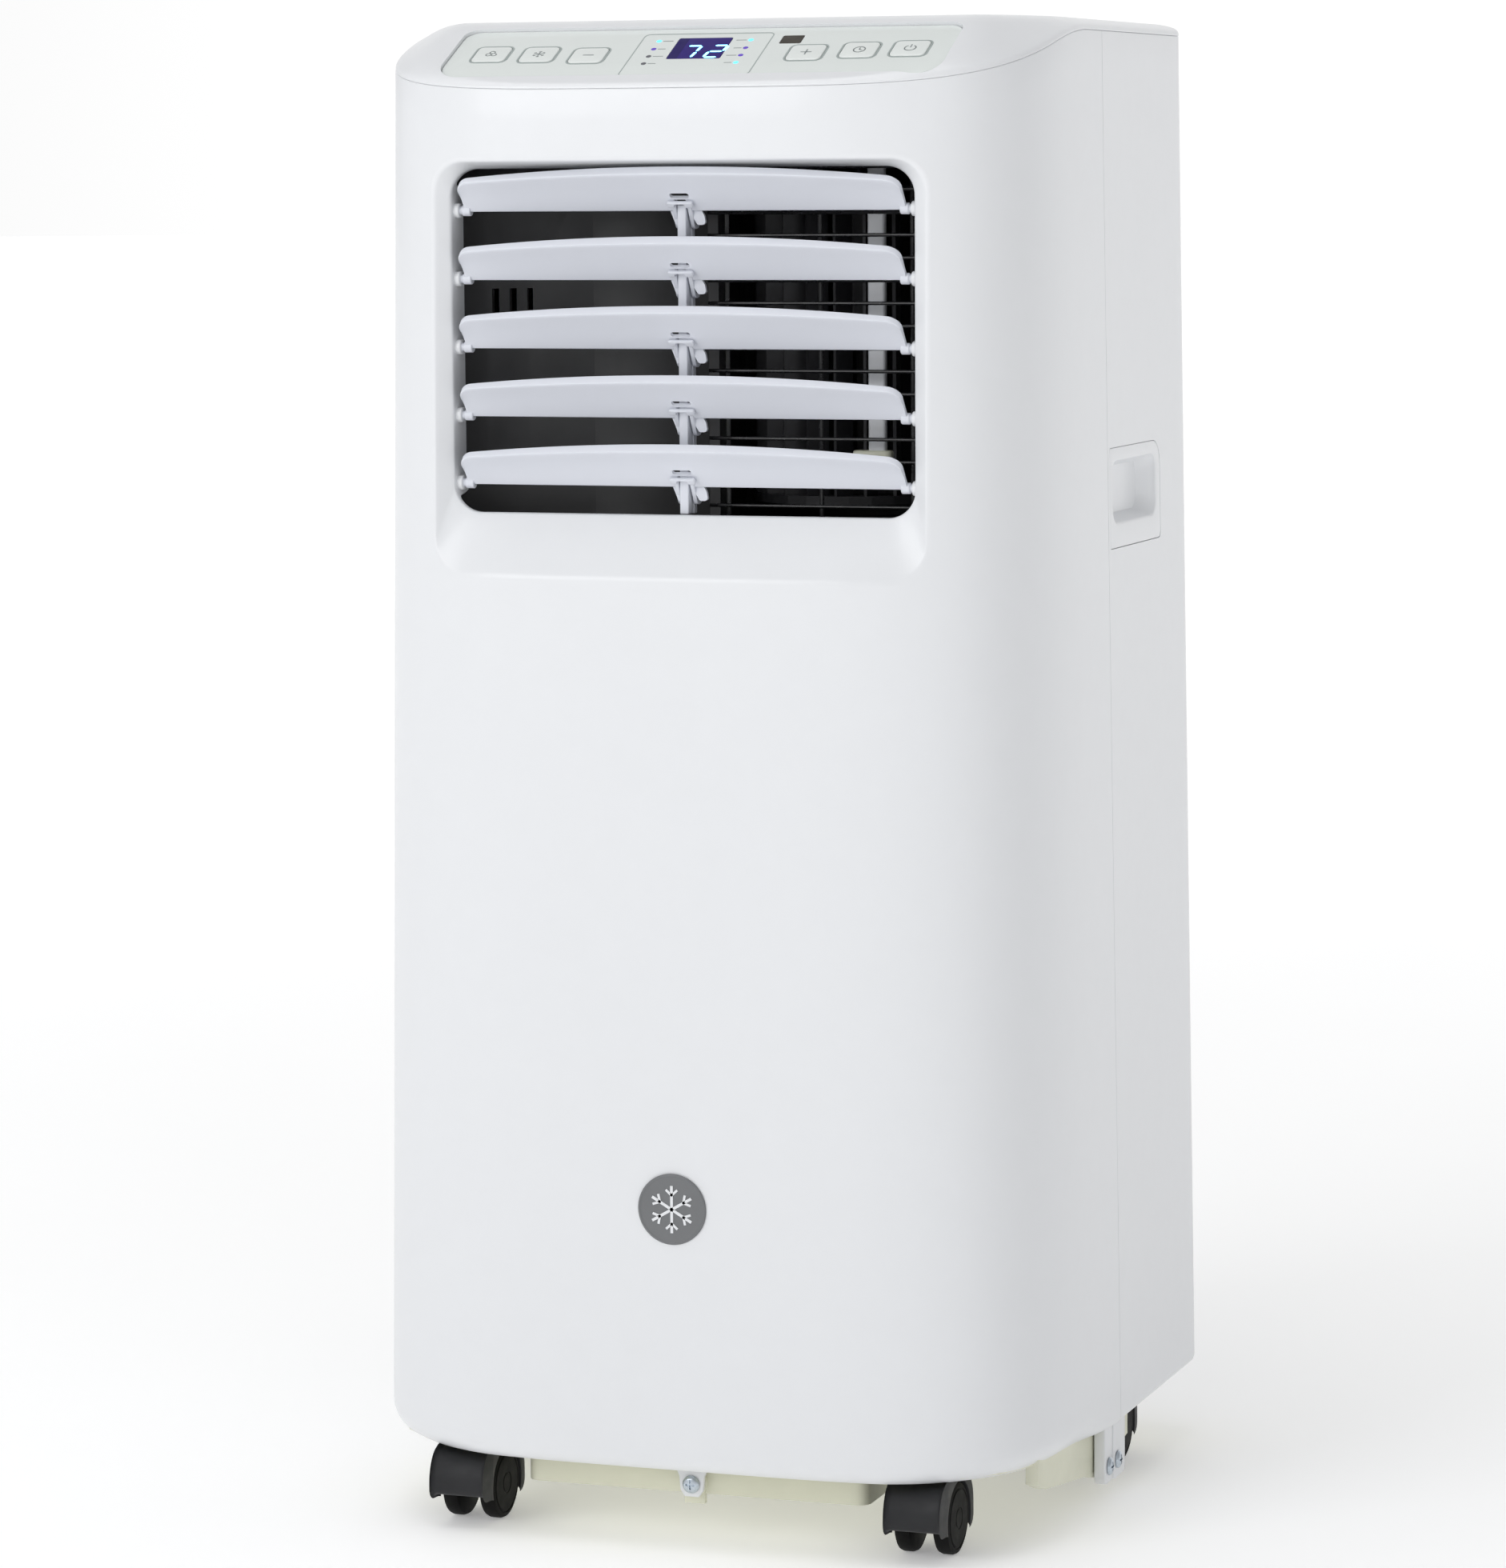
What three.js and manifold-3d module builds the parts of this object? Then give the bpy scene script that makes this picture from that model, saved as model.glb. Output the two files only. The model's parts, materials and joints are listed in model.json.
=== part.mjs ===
// Portable room air conditioner on casters. Millimetres, +Z up.
// X runs to the right seen from the front, Y runs to the rear, and the floor is z = 0.
import * as THREE from 'three';
import { mergeVertices } from 'three/addons/utils/BufferGeometryUtils.js';
import Module from 'manifold-3d';

const wasm = await Module();
wasm.setup();

// ---------------------------------------------------------------- driving dimensions
const height = 703;
const baseHalfWidth = 169.5;
const topHalfWidth = 159.5;
const baseFrontDepth = 160.6;
const topFrontDepth = 150.3;
const rearDepth = 157;
const deepest = 159.94;
const outlineExponent = 4.4;
const rearCornerRadius = 22;
const shellWall = 2.6;
const gap = 0.3;
const shellBottom = 37.2;
const bottomRounding = 8;

// top cover: a flat top, a sloped front deck and soft shoulders at the sides and the rear
const deckFrontY = -150;
const deckFrontZ = 673;
const deckSlope = 0.5;
const shoulderSlope = 0.5;
const shoulderZ = 699;
const shoulderEndY = -50;
const shoulderFall = 0.3;
const coverBand = 2;
const coverThickness = 6.5;

// air outlet in the front
const outletHalfWidth = 111.4;
const outletBottom = 478;
const outletTop = 635.2;
const outletCorner = 13;
const outletPlaneY = -137;
const frameWall = 2.5;
const recessHalfWidth = 118.7;
const recessTop = 638.8;
const recessRampBottom = 455;

// louvre blades
const bladeCount = 5;
const bladePitch = 31.28;
const bladeTopZ = 616.3;
const bladeHingeY = -131.5;
const bladeHalfLength = 106.3;
const bladeEndChord = 20;
const bladeBow = 7;
const bladeThickness = 2.2;
const bladeTilt = THREE.MathUtils.degToRad(45);
const linkOffset = { y: 6, z: -5 };

// casters
const wheelRadius = 17;
const wheelWidth = 8.6;
const hoodHalfWidth = 13.5;
const hoodTop = 36.5;
const axleRadius = 2.4;
const wheelSides = 24;
const wheelCentreZ = wheelRadius * Math.cos(Math.PI / wheelSides);
const stemRadius = 4;
const casterPlaces = [
  { name: 'caster_front_left', x: -112, axleY: -121 },
  { name: 'caster_front_right', x: 112, axleY: -121 },
  { name: 'caster_rear_left', x: -136, axleY: 78 },
  { name: 'caster_rear_right', x: 136, axleY: 78 },
];
const casterTrail = 5;
const swivelRadius = 27.2;

// base pan
const panPlateBottom = 40;
const panPlateTop = 44;
const panRimTop = 58;
const tubHalfWidth = 84.4;
const tubBottom = 21.6;
const tubFront = -131;
const tubRear = 100;
const panWall = 2.5;

// carrying handles
const handle = { front: 3, rear: 93, bottom: 455, top: 502.6, depth: 26 };
const pocket = { front: 7, rear: 84, bottom: 467, top: 496 };

// rear openings
const grilleHalfWidth = 118;
const upperGrille = { bottom: 440, top: 655 };
const lowerGrille = { bottom: 92, top: 275 };
const exhaust = { x: -50, z: 350, outer: 61, inner: 54 };
const drain = { x: 70, z: 66, radius: 11 };
const gland = { x: 95, z: 340, radius: 9 };

// controls, in the deck's own frame: u across, v up the slope, w out of the deck
const panelX = 3;
const panelHalfWidth = 121;
const panelFront = 9;
const panelRear = 59.5;
const panelSink = 1.5;
const pocketFloor = 3;
const keySize = { width: 16.5, depth: 15, corner: 2.5 };
const keys = [
  { name: 'button_fan', u: -101, v: 34.9 },
  { name: 'button_mode', u: -77.3, v: 34 },
  { name: 'button_down', u: -52.5, v: 32.3 },
  { name: 'button_up', u: 52.5, v: 32.3 },
  { name: 'button_timer', u: 77.3, v: 34 },
  { name: 'button_power', u: 101, v: 34.9 },
];
const display = { u: -0.5, v: 38.7, width: 25.6, depth: 21.2 };
const irWindow = { u: 41.5, v: 46.5, width: 10, depth: 8 };

// inside
const blower = { x: 52, y: -35, bottom: 480, top: 626, radius: 50 };
const condenserFan = { x: 20, z: 225, radius: 86, front: 22, rear: 78 };

// ---------------------------------------------------------------- solids
function solid(geometry) {
  const bare = geometry.clone();
  bare.deleteAttribute('normal');
  bare.deleteAttribute('uv');
  const merged = mergeVertices(bare, 1e-4);
  const mesh = new wasm.Mesh({
    numProp: 3,
    vertProperties: new Float32Array(merged.attributes.position.array),
    triVerts: new Uint32Array(merged.index.array),
  });
  return new wasm.Manifold(mesh);
}

function geometryOf(manifold) {
  const mesh = manifold.getMesh();
  const geometry = new THREE.BufferGeometry();
  geometry.setAttribute('position', new THREE.BufferAttribute(new Float32Array(mesh.vertProperties), 3));
  geometry.setIndex(new THREE.BufferAttribute(new Uint32Array(mesh.triVerts), 1));
  geometry.computeVertexNormals();
  return geometry;
}

function union(pieces) {
  return pieces.reduce((whole, piece) => whole.add(piece));
}

function cut(body, tools) {
  return tools.reduce((left, tool) => left.subtract(tool), body);
}

function block(x0, x1, y0, y1, z0, z1) {
  const geometry = new THREE.BoxGeometry(x1 - x0, y1 - y0, z1 - z0);
  geometry.translate((x0 + x1) / 2, (y0 + y1) / 2, (z0 + z1) / 2);
  return solid(geometry);
}

// A cylinder whose axis runs along x, y or z from one coordinate to another.
function roundBar(axis, radius, from, to, first, second, sides = 16) {
  const geometry = new THREE.CylinderGeometry(radius, radius, to - from, sides);
  const middle = (from + to) / 2;
  if (axis === 'x') {
    geometry.rotateZ(-Math.PI / 2);
    geometry.translate(middle, first, second);
  } else if (axis === 'y') {
    geometry.translate(first, middle, second);
  } else {
    geometry.rotateX(Math.PI / 2);
    geometry.translate(first, second, middle);
  }
  return solid(geometry);
}

// Extrudes a flat shape: along x the shape lies in (y, z), along y in (x, z), along z in (x, y).
function slabGeometry(shape, axis, from, to, options = {}) {
  const settings = { depth: to - from, bevelEnabled: false, curveSegments: 5, ...options };
  const geometry = new THREE.ExtrudeGeometry(shape, settings);
  if (axis === 'x') {
    geometry.applyMatrix4(new THREE.Matrix4().set(0, 0, 1, from, 1, 0, 0, 0, 0, 1, 0, 0, 0, 0, 0, 1));
  } else if (axis === 'y') {
    geometry.applyMatrix4(new THREE.Matrix4().set(1, 0, 0, 0, 0, 0, -1, to, 0, 1, 0, 0, 0, 0, 0, 1));
  } else {
    geometry.translate(0, 0, from);
  }
  return geometry;
}

function slab(shape, axis, from, to, options) {
  return solid(slabGeometry(shape, axis, from, to, options));
}

function polygon(points) {
  return new THREE.Shape(points.map(([u, v]) => new THREE.Vector2(u, v)));
}

function traceRoundedRectangle(path, u0, u1, v0, v1, radius) {
  path.moveTo(u0 + radius, v0);
  path.lineTo(u1 - radius, v0);
  path.absarc(u1 - radius, v0 + radius, radius, -Math.PI / 2, 0, false);
  path.lineTo(u1, v1 - radius);
  path.absarc(u1 - radius, v1 - radius, radius, 0, Math.PI / 2, false);
  path.lineTo(u0 + radius, v1);
  path.absarc(u0 + radius, v1 - radius, radius, Math.PI / 2, Math.PI, false);
  path.lineTo(u0, v0 + radius);
  path.absarc(u0 + radius, v0 + radius, radius, Math.PI, Math.PI * 1.5, false);
  return path;
}

function roundedRectangle(u0, u1, v0, v1, radius) {
  return traceRoundedRectangle(new THREE.Shape(), u0, u1, v0, v1, radius);
}

// A solid of revolution about z from a profile of (radius, z) points that starts and ends on the axis.
function turned(profile, x, y, sides = 24) {
  const points = profile.map(([radius, z]) => new THREE.Vector2(radius, z));
  const geometry = new THREE.LatheGeometry(points, sides);
  geometry.rotateX(Math.PI / 2);
  geometry.translate(x, y, 0);
  return solid(geometry);
}

function tube(points, radius, steps, sides = 8) {
  const path = new THREE.CatmullRomCurve3(points.map((point) => new THREE.Vector3(...point)));
  const section = new THREE.Shape(
    Array.from({ length: sides }, (unused, index) => {
      const angle = (index / sides) * Math.PI * 2;
      return new THREE.Vector2(radius * Math.cos(angle), radius * Math.sin(angle));
    }),
  );
  return solid(new THREE.ExtrudeGeometry(section, { extrudePath: path, steps, bevelEnabled: false }));
}

// ---------------------------------------------------------------- materials and nodes
const finishes = {
  white: { color: 0xe9ebee, roughness: 0.28, metalness: 0 },
  blade: { color: 0xdfe0ec, roughness: 0.32, metalness: 0 },
  beige: { color: 0xcdcfb9, roughness: 0.5, metalness: 0 },
  hood: { color: 0x3b3b3e, roughness: 0.45, metalness: 0 },
  wheel: { color: 0x161616, roughness: 0.55, metalness: 0 },
  duct: { color: 0x2b2b2b, roughness: 0.6, metalness: 0 },
  wire: { color: 0x101010, roughness: 0.4, metalness: 0 },
  lens: { color: 0x4a3aa0, roughness: 0.1, metalness: 0 },
  smoked: { color: 0x6e685c, roughness: 0.1, metalness: 0 },
  badge: { color: 0x87898c, roughness: 0.35, metalness: 0.3 },
  steel: { color: 0xb9c2c8, roughness: 0.3, metalness: 0.9 },
  copper: { color: 0xb87345, roughness: 0.35, metalness: 0.9 },
  fins: { color: 0xc9ccd0, roughness: 0.4, metalness: 0.8 },
  motor: { color: 0x4d5156, roughness: 0.5, metalness: 0.5 },
  board: { color: 0x2c5a3c, roughness: 0.6, metalness: 0 },
  rubber: { color: 0x1d1d1f, roughness: 0.8, metalness: 0 },
};

const unit = new THREE.Group();

function node(name, finish, body, parent = unit) {
  const mesh = new THREE.Mesh(geometryOf(body), new THREE.MeshStandardMaterial(finishes[finish]));
  mesh.name = name;
  parent.add(mesh);
  return mesh;
}

// ---------------------------------------------------------------- cabinet envelope
function halfWidthAt(z) {
  return baseHalfWidth + ((topHalfWidth - baseHalfWidth) * z) / height;
}

function frontDepthAt(z) {
  return baseFrontDepth + ((topFrontDepth - baseFrontDepth) * z) / height;
}

function frontFaceY(x, z) {
  const across = Math.abs(x) / halfWidthAt(z);
  return -frontDepthAt(z) * (1 - across ** outlineExponent) ** (1 / outlineExponent);
}

// The plan outline at the floor, moved in by an inset: a superellipse in front, straight sides,
// and round corners at the rear.
function planOutline(inset, frontSteps) {
  const halfWidth = baseHalfWidth - inset;
  const front = baseFrontDepth - inset;
  const rear = rearDepth - inset;
  const corner = rearCornerRadius - inset;
  const shape = new THREE.Shape();
  shape.moveTo(halfWidth, 0);
  shape.lineTo(halfWidth, rear - corner);
  shape.absarc(halfWidth - corner, rear - corner, corner, 0, Math.PI / 2, false);
  shape.lineTo(-halfWidth + corner, rear);
  shape.absarc(-halfWidth + corner, rear - corner, corner, Math.PI / 2, Math.PI, false);
  shape.lineTo(-halfWidth, 0);
  for (let step = 1; step < frontSteps; step += 1) {
    const angle = Math.PI * (1 + step / frontSteps);
    const power = 2 / outlineExponent;
    const x = halfWidth * Math.sign(Math.cos(angle)) * Math.abs(Math.cos(angle)) ** power;
    const y = -front * Math.abs(Math.sin(angle)) ** power;
    shape.lineTo(x, y);
  }
  return shape;
}

// Draft: the cabinet narrows upward at both sides and at the front.
function drafted(geometry) {
  const place = geometry.attributes.position;
  for (let index = 0; index < place.count; index += 1) {
    const z = place.getZ(index);
    place.setX(index, (place.getX(index) * halfWidthAt(z)) / baseHalfWidth);
    if (place.getY(index) < 0) {
      place.setY(index, (place.getY(index) * frontDepthAt(z)) / baseFrontDepth);
    }
  }
  return geometry;
}

function cabinetBlock(inset, bottom, rounding, frontSteps = 30) {
  const outline = planOutline(inset, frontSteps);
  const top = height + 30;
  if (rounding === 0) {
    return solid(drafted(slabGeometry(outline, 'z', bottom, top, { curveSegments: 4 })));
  }
  const options = {
    bevelEnabled: true,
    bevelThickness: rounding,
    bevelSize: rounding,
    bevelOffset: -rounding,
    bevelSegments: 3,
  };
  return solid(drafted(slabGeometry(outline, 'z', bottom + rounding, top - rounding, options)));
}

// The planes that bound the top, each as a point and an upward normal.
const roofPlanes = [
  { point: [0, 0, height], normal: [0, 0, 1] },
  { point: [0, deckFrontY, deckFrontZ], normal: [0, -deckSlope, 1] },
  { point: [0, rearDepth, shoulderZ], normal: [0, shoulderSlope, 1] },
  ...[-1, 1].flatMap((side) => [
    { point: [side * topHalfWidth, 0, shoulderZ], normal: [side * shoulderSlope, 0, 1] },
    {
      point: [side * topHalfWidth, shoulderEndY, shoulderZ],
      normal: [side * shoulderSlope, -shoulderFall, 1],
    },
  ]),
];

function spaceAbove(plane, drop) {
  const geometry = new THREE.BoxGeometry(1200, 1200, 300);
  geometry.translate(0, 0, 150);
  const normal = new THREE.Vector3(...plane.normal).normalize();
  const turn = new THREE.Quaternion().setFromUnitVectors(new THREE.Vector3(0, 0, 1), normal);
  geometry.applyQuaternion(turn);
  geometry.translate(plane.point[0], plane.point[1], plane.point[2] - drop);
  return solid(geometry);
}

function underRoof(body, drop) {
  return cut(body, roofPlanes.map((plane) => spaceAbove(plane, drop)));
}

const everything = 400;
const coarse = 14;
const cabinet = cabinetBlock(0, shellBottom, bottomRounding);
const cabinetInside = cabinetBlock(shellWall, shellBottom - 10, 0);
const shellRing = underRoof(cabinet.subtract(cabinetInside), coverBand + gap);
const frontHalf = block(-everything, everything, -everything, -gap / 2, -10, height + 50);
const rearHalf = block(-everything, everything, gap / 2, everything, -10, height + 50);

// ---------------------------------------------------------------- front shell with the outlet frame
const bladeZ = Array.from({ length: bladeCount }, (unused, index) => bladeTopZ - index * bladePitch);

function outletFrame() {
  const tray = polygon([
    [-175, recessRampBottom - 5],
    [outletPlaneY + frameWall, outletBottom - 4],
    [outletPlaneY + frameWall, recessTop + frameWall],
    [-175, recessTop + frameWall],
  ]);
  return slab(tray, 'x', -recessHalfWidth - frameWall, recessHalfWidth + frameWall).intersect(cabinet);
}

function outletRecess() {
  const hollow = polygon([
    [-190, recessRampBottom - 11],
    [outletPlaneY, outletBottom - 2],
    [outletPlaneY, recessTop],
    [-190, recessTop],
  ]);
  return slab(hollow, 'x', -recessHalfWidth, recessHalfWidth);
}

function outletHole() {
  const rim = roundedRectangle(-outletHalfWidth, outletHalfWidth, outletBottom, outletTop, outletCorner);
  return slab(rim, 'y', -170, -120);
}

const tabY = { front: -136.2, rear: -133.9 };
const tabScrewZ = 27;

function frontTab() {
  const profile = polygon([
    [-157.6, 44],
    [-157.6, 41.5],
    [tabY.front, 41.5],
    [tabY.front, 21],
    [tabY.rear, 21],
    [tabY.rear, 44],
  ]);
  return slab(profile, 'x', -9, 9).subtract(roundBar('y', 2.2, -140, -130, 0, tabScrewZ, 12));
}

const lug = { inner: 159.4, outer: 165, bottom: 9, screwZ: 17.5, screwRadius: 2.1 };

// A lug under the seam on each side, through which a screw holds the shell to the base pan.
function sideLugs(front, rear, screwY) {
  return [-1, 1].map((side) => {
    const ends = [side * lug.inner, side * lug.outer].sort((a, b) => a - b);
    const root = [side * lug.inner, side * (lug.outer + 2.6)].sort((a, b) => a - b);
    const plate = block(ends[0], ends[1], front, rear, lug.bottom, 50);
    const hole = roundBar('x', lug.screwRadius, ends[0] - 5, ends[1] + 5, screwY, lug.screwZ, 10);
    return plate.add(block(root[0], root[1], front, rear, 46, 58)).subtract(hole);
  });
}

const frontLugScrewY = -7;
const rearLugScrewY = 8;

function frontShell() {
  const wall = shellRing.intersect(frontHalf);
  const framed = cut(wall.add(outletFrame()), [outletRecess(), outletHole()]);
  return union([framed, frontTab(), ...sideLugs(-14, -0.5, frontLugScrewY)]);
}

node('front_shell', 'white', frontShell());

// ---------------------------------------------------------------- rear shell
function sidePocketHoles() {
  const rim = roundedRectangle(handle.front, handle.rear, handle.bottom, handle.top, 5);
  return [slab(rim, 'x', 140, 190), slab(rim, 'x', -190, -140)];
}

function grilleHole(grille) {
  return block(-grilleHalfWidth, grilleHalfWidth, 140, 170, grille.bottom, grille.top);
}

const hookPost = { x: 95, z: 400 };

function rearShell() {
  const wall = shellRing.intersect(rearHalf);
  const holes = [
    ...sidePocketHoles(),
    grilleHole(upperGrille),
    grilleHole(lowerGrille),
    roundBar('y', exhaust.outer + gap, 140, 170, exhaust.x, exhaust.z, 40),
    roundBar('y', drain.radius + gap, 140, 170, drain.x, drain.z, 20),
    roundBar('y', gland.radius + gap, 140, 170, gland.x, gland.z, 20),
  ];
  return union([cut(wall, holes), ...sideLugs(1, 22.5, rearLugScrewY)]);
}

node('rear_shell', 'white', rearShell());

// ---------------------------------------------------------------- control deck and top cover
const deckTilt = Math.atan(deckSlope);
const deck = new THREE.Group();
deck.position.set(panelX, deckFrontY, deckFrontZ);
deck.rotation.x = deckTilt;
unit.add(deck);
deck.updateMatrixWorld(true);

// A plate in the deck's frame, moved into the cabinet's frame so that it can cut the cover.
function deckTool(shape, from, to) {
  const geometry = slabGeometry(shape, 'z', from, to, { curveSegments: 2 });
  return solid(geometry.applyMatrix4(deck.matrixWorld));
}

function keyOutline(key, clearance) {
  const halfWidth = keySize.width / 2 + clearance;
  const halfDepth = keySize.depth / 2 + clearance;
  const { u, v } = key;
  return roundedRectangle(u - halfWidth, u + halfWidth, v - halfDepth, v + halfDepth, keySize.corner);
}

function windowOutline(window, clearance) {
  const halfWidth = window.width / 2 + clearance;
  const halfDepth = window.depth / 2 + clearance;
  const { u, v } = window;
  return roundedRectangle(u - halfWidth, u + halfWidth, v - halfDepth, v + halfDepth, 1);
}

// The panel's outline has wider corners at the front, where the cabinet's own corners come close.
function panelOutline(clearance) {
  const halfWidth = panelHalfWidth - clearance;
  const front = panelFront + clearance;
  const rear = panelRear - clearance;
  const frontCorner = 14;
  const rearCorner = 8;
  const shape = new THREE.Shape();
  shape.moveTo(-halfWidth + frontCorner, front);
  shape.lineTo(halfWidth - frontCorner, front);
  shape.absarc(halfWidth - frontCorner, front + frontCorner, frontCorner, -Math.PI / 2, 0, false);
  shape.lineTo(halfWidth, rear - rearCorner);
  shape.absarc(halfWidth - rearCorner, rear - rearCorner, rearCorner, 0, Math.PI / 2, false);
  shape.lineTo(-halfWidth + rearCorner, rear);
  shape.absarc(-halfWidth + rearCorner, rear - rearCorner, rearCorner, Math.PI / 2, Math.PI, false);
  shape.lineTo(-halfWidth, front + frontCorner);
  shape.absarc(-halfWidth + frontCorner, front + frontCorner, frontCorner, Math.PI, Math.PI * 1.5, false);
  return shape;
}

function topCover() {
  const column = block(-200, 200, -200, 200, 0, height + 50);
  const band = underRoof(cabinet, 0).subtract(underRoof(column, coverBand));
  const plugColumn = cabinetBlock(shellWall + 0.5, shellBottom, 0);
  const plug = underRoof(plugColumn, 0).subtract(underRoof(column, coverThickness));
  const pocketLimit = cabinetBlock(shellWall + 0.6, 600, 0);
  const pocket = deckTool(panelOutline(0), -pocketFloor, 10).intersect(pocketLimit);
  const wells = keys.map((key) => deckTool(keyOutline(key, gap), -pocketFloor - 1.9, 1));
  return cut(band.add(plug), [pocket, ...wells]);
}

node('top_cover', 'white', topCover());

const plainCorners = { curveSegments: 2 };

function controlPanel() {
  const limit = cabinetBlock(shellWall + 0.6 + gap, 600, 0);
  const plate = deckTool(panelOutline(gap), -pocketFloor + gap, -panelSink).intersect(limit);
  const windows = [display, irWindow].map((window) => deckTool(windowOutline(window, gap), -10, 10));
  const keyHoles = keys.map((key) => deckTool(keyOutline(key, gap), -10, 10));
  return cut(plate, [...windows, ...keyHoles]);
}

node('control_panel', 'white', controlPanel());
const windowBottom = -pocketFloor + gap;
node('display_window', 'lens', slab(windowOutline(display, 0), 'z', windowBottom, -1.3, plainCorners), deck);
node('ir_window', 'smoked', slab(windowOutline(irWindow, 0), 'z', windowBottom, -1.3, plainCorners), deck);
keys.forEach((key) => {
  const keyBottom = -pocketFloor - 0.6;
  node(key.name, 'white', slab(keyOutline(key, 0), 'z', keyBottom, keyBottom + 2.6, plainCorners), deck);
});

function controlBoard() {
  const plate = slab(roundedRectangle(-108, 108, 12, 52, 2), 'z', -13, -11.4, plainCorners);
  const relays = [-80, -30, 40].map((u) => block(u - 9, u + 9, 20, 40, -22, -12));
  return union([plate, ...relays]);
}

node('control_board', 'board', controlBoard(), deck);

// ---------------------------------------------------------------- badge
const badge = { z: 161, radius: 16.5 };
const badgeFace = frontFaceY(0, badge.z);
node('badge', 'badge', roundBar('y', badge.radius, badgeFace - 1.1, badgeFace - gap, 0, badge.z, 40));

// ---------------------------------------------------------------- handles
function handleInsert(side) {
  const outside = halfWidthAt(handle.bottom) - 0.1;
  const rim = roundedRectangle(
    handle.front + gap,
    handle.rear - gap,
    handle.bottom + gap,
    handle.top - gap,
    5 - gap,
  );
  const ends = [side * (outside - handle.depth), side * outside].sort((a, b) => a - b);
  const plate = slab(rim, 'x', ends[0], ends[1]);
  const mouth = roundedRectangle(pocket.front, pocket.rear, pocket.bottom, pocket.top, 6);
  const hollowEnds = [side * (outside - handle.depth + 2.5), side * 190].sort((a, b) => a - b);
  return plate.subtract(slab(mouth, 'x', hollowEnds[0], hollowEnds[1])).intersect(cabinet);
}

node('handle_left', 'white', handleInsert(-1));
node('handle_right', 'white', handleInsert(1));

// ---------------------------------------------------------------- base pan
const skirt = { inner: 152.5, outer: 158.6 };

function panSkirt(side) {
  const frontEdge = {
    left: [
      [-51, panPlateTop],
      [-51, 20],
    ],
    right: [
      [-105, panPlateTop],
      [-105, 31],
      [-92, 26],
      [-51, 20],
    ],
  };
  const profile = polygon([
    ...frontEdge[side < 0 ? 'left' : 'right'],
    [-24, 16],
    [-12, 12.5],
    [24, 12.5],
    [30, 18],
    [49, 20.5],
    [49, panPlateTop],
  ]);
  const ends = [side * skirt.inner, side * skirt.outer].sort((a, b) => a - b);
  return slab(profile, 'x', ends[0], ends[1]);
}

function basePan() {
  const insetRim = shellWall + 2.4;
  const plateSide = cabinetBlock(insetRim, panPlateBottom, 0, coarse);
  const rim = plateSide.subtract(cabinetBlock(insetRim + 2.5, panPlateBottom, 0, coarse));
  const plate = plateSide.intersect(block(-everything, everything, -everything, everything, 0, panPlateTop));
  const wall = rim.intersect(block(-everything, everything, -everything, everything, 0, panRimTop));
  const tubOutline = roundedRectangle(-tubHalfWidth, tubHalfWidth, tubFront, tubRear, 6);
  const tub = slab(tubOutline, 'z', tubBottom, panPlateTop);
  const inset = panWall;
  const hollow = slab(
    roundedRectangle(-tubHalfWidth + inset, tubHalfWidth - inset, tubFront + inset, tubRear - inset, 4),
    'z',
    tubBottom + inset,
    panPlateTop + 1,
  );
  const sockets = casterPlaces.map((place) =>
    roundBar('z', stemRadius + 4, hoodTop + 1.2, panRimTop, place.x, place.axleY - casterTrail, 14),
  );
  const stemHoles = casterPlaces.map((place) =>
    roundBar('z', stemRadius + gap, hoodTop - 2, panRimTop + 1, place.x, place.axleY - casterTrail, 12),
  );
  const screwHoles = [frontLugScrewY, rearLugScrewY].flatMap((y) => [
    roundBar('x', lug.screwRadius, 150, 162, y, lug.screwZ, 10),
    roundBar('x', lug.screwRadius, -162, -150, y, lug.screwZ, 10),
  ]);
  const tabBoss = union([
    roundBar('y', 6.5, tabY.rear + gap, tubFront + 2, 0, tabScrewZ, 16),
    block(-5, 5, tubFront - 1, tubFront + 2, 17, 26),
  ]);
  const tabScrewHole = roundBar('y', 2, -140, tubFront + 10, 0, tabScrewZ, 10);
  const notches = [
    block(-9.6, 9.6, -165, tabY.rear + gap, panPlateBottom - 1, panRimTop + 1),
    block(lug.inner - gap, 175, -14.6, 23.1, panPlateBottom - 1, panRimTop + 1),
    block(-175, -lug.inner + gap, -14.6, 23.1, panPlateBottom - 1, panRimTop + 1),
  ];
  const body = union([plate, wall, tub, panSkirt(1), panSkirt(-1), ...sockets, tabBoss]);
  return cut(body, [hollow, ...notches, ...stemHoles, ...screwHoles, tabScrewHole]);
}

node('base_pan', 'beige', basePan());

// ---------------------------------------------------------------- screws
function panScrew(name, axis, headFrom, headTo, tipTo, first, second) {
  const head = roundBar(axis, 4.2, Math.min(headFrom, headTo), Math.max(headFrom, headTo), first, second, 16);
  const shank = roundBar(axis, 1.6, Math.min(headTo, tipTo), Math.max(headTo, tipTo), first, second, 10);
  node(name, 'steel', head.add(shank));
}

panScrew('front_screw', 'y', tabY.front - 2, tabY.front - gap, tubFront + 6, 0, tabScrewZ);
[-1, 1].forEach((side) => {
  const sideName = side < 0 ? 'left' : 'right';
  const head = side * (lug.outer + 1.9);
  const seat = side * (lug.outer + gap);
  const tip = side * (skirt.inner + 1);
  panScrew(`side_screw_front_${sideName}`, 'x', head, seat, tip, frontLugScrewY, lug.screwZ);
  panScrew(`side_screw_rear_${sideName}`, 'x', head, seat, tip, rearLugScrewY, lug.screwZ);
});

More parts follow.
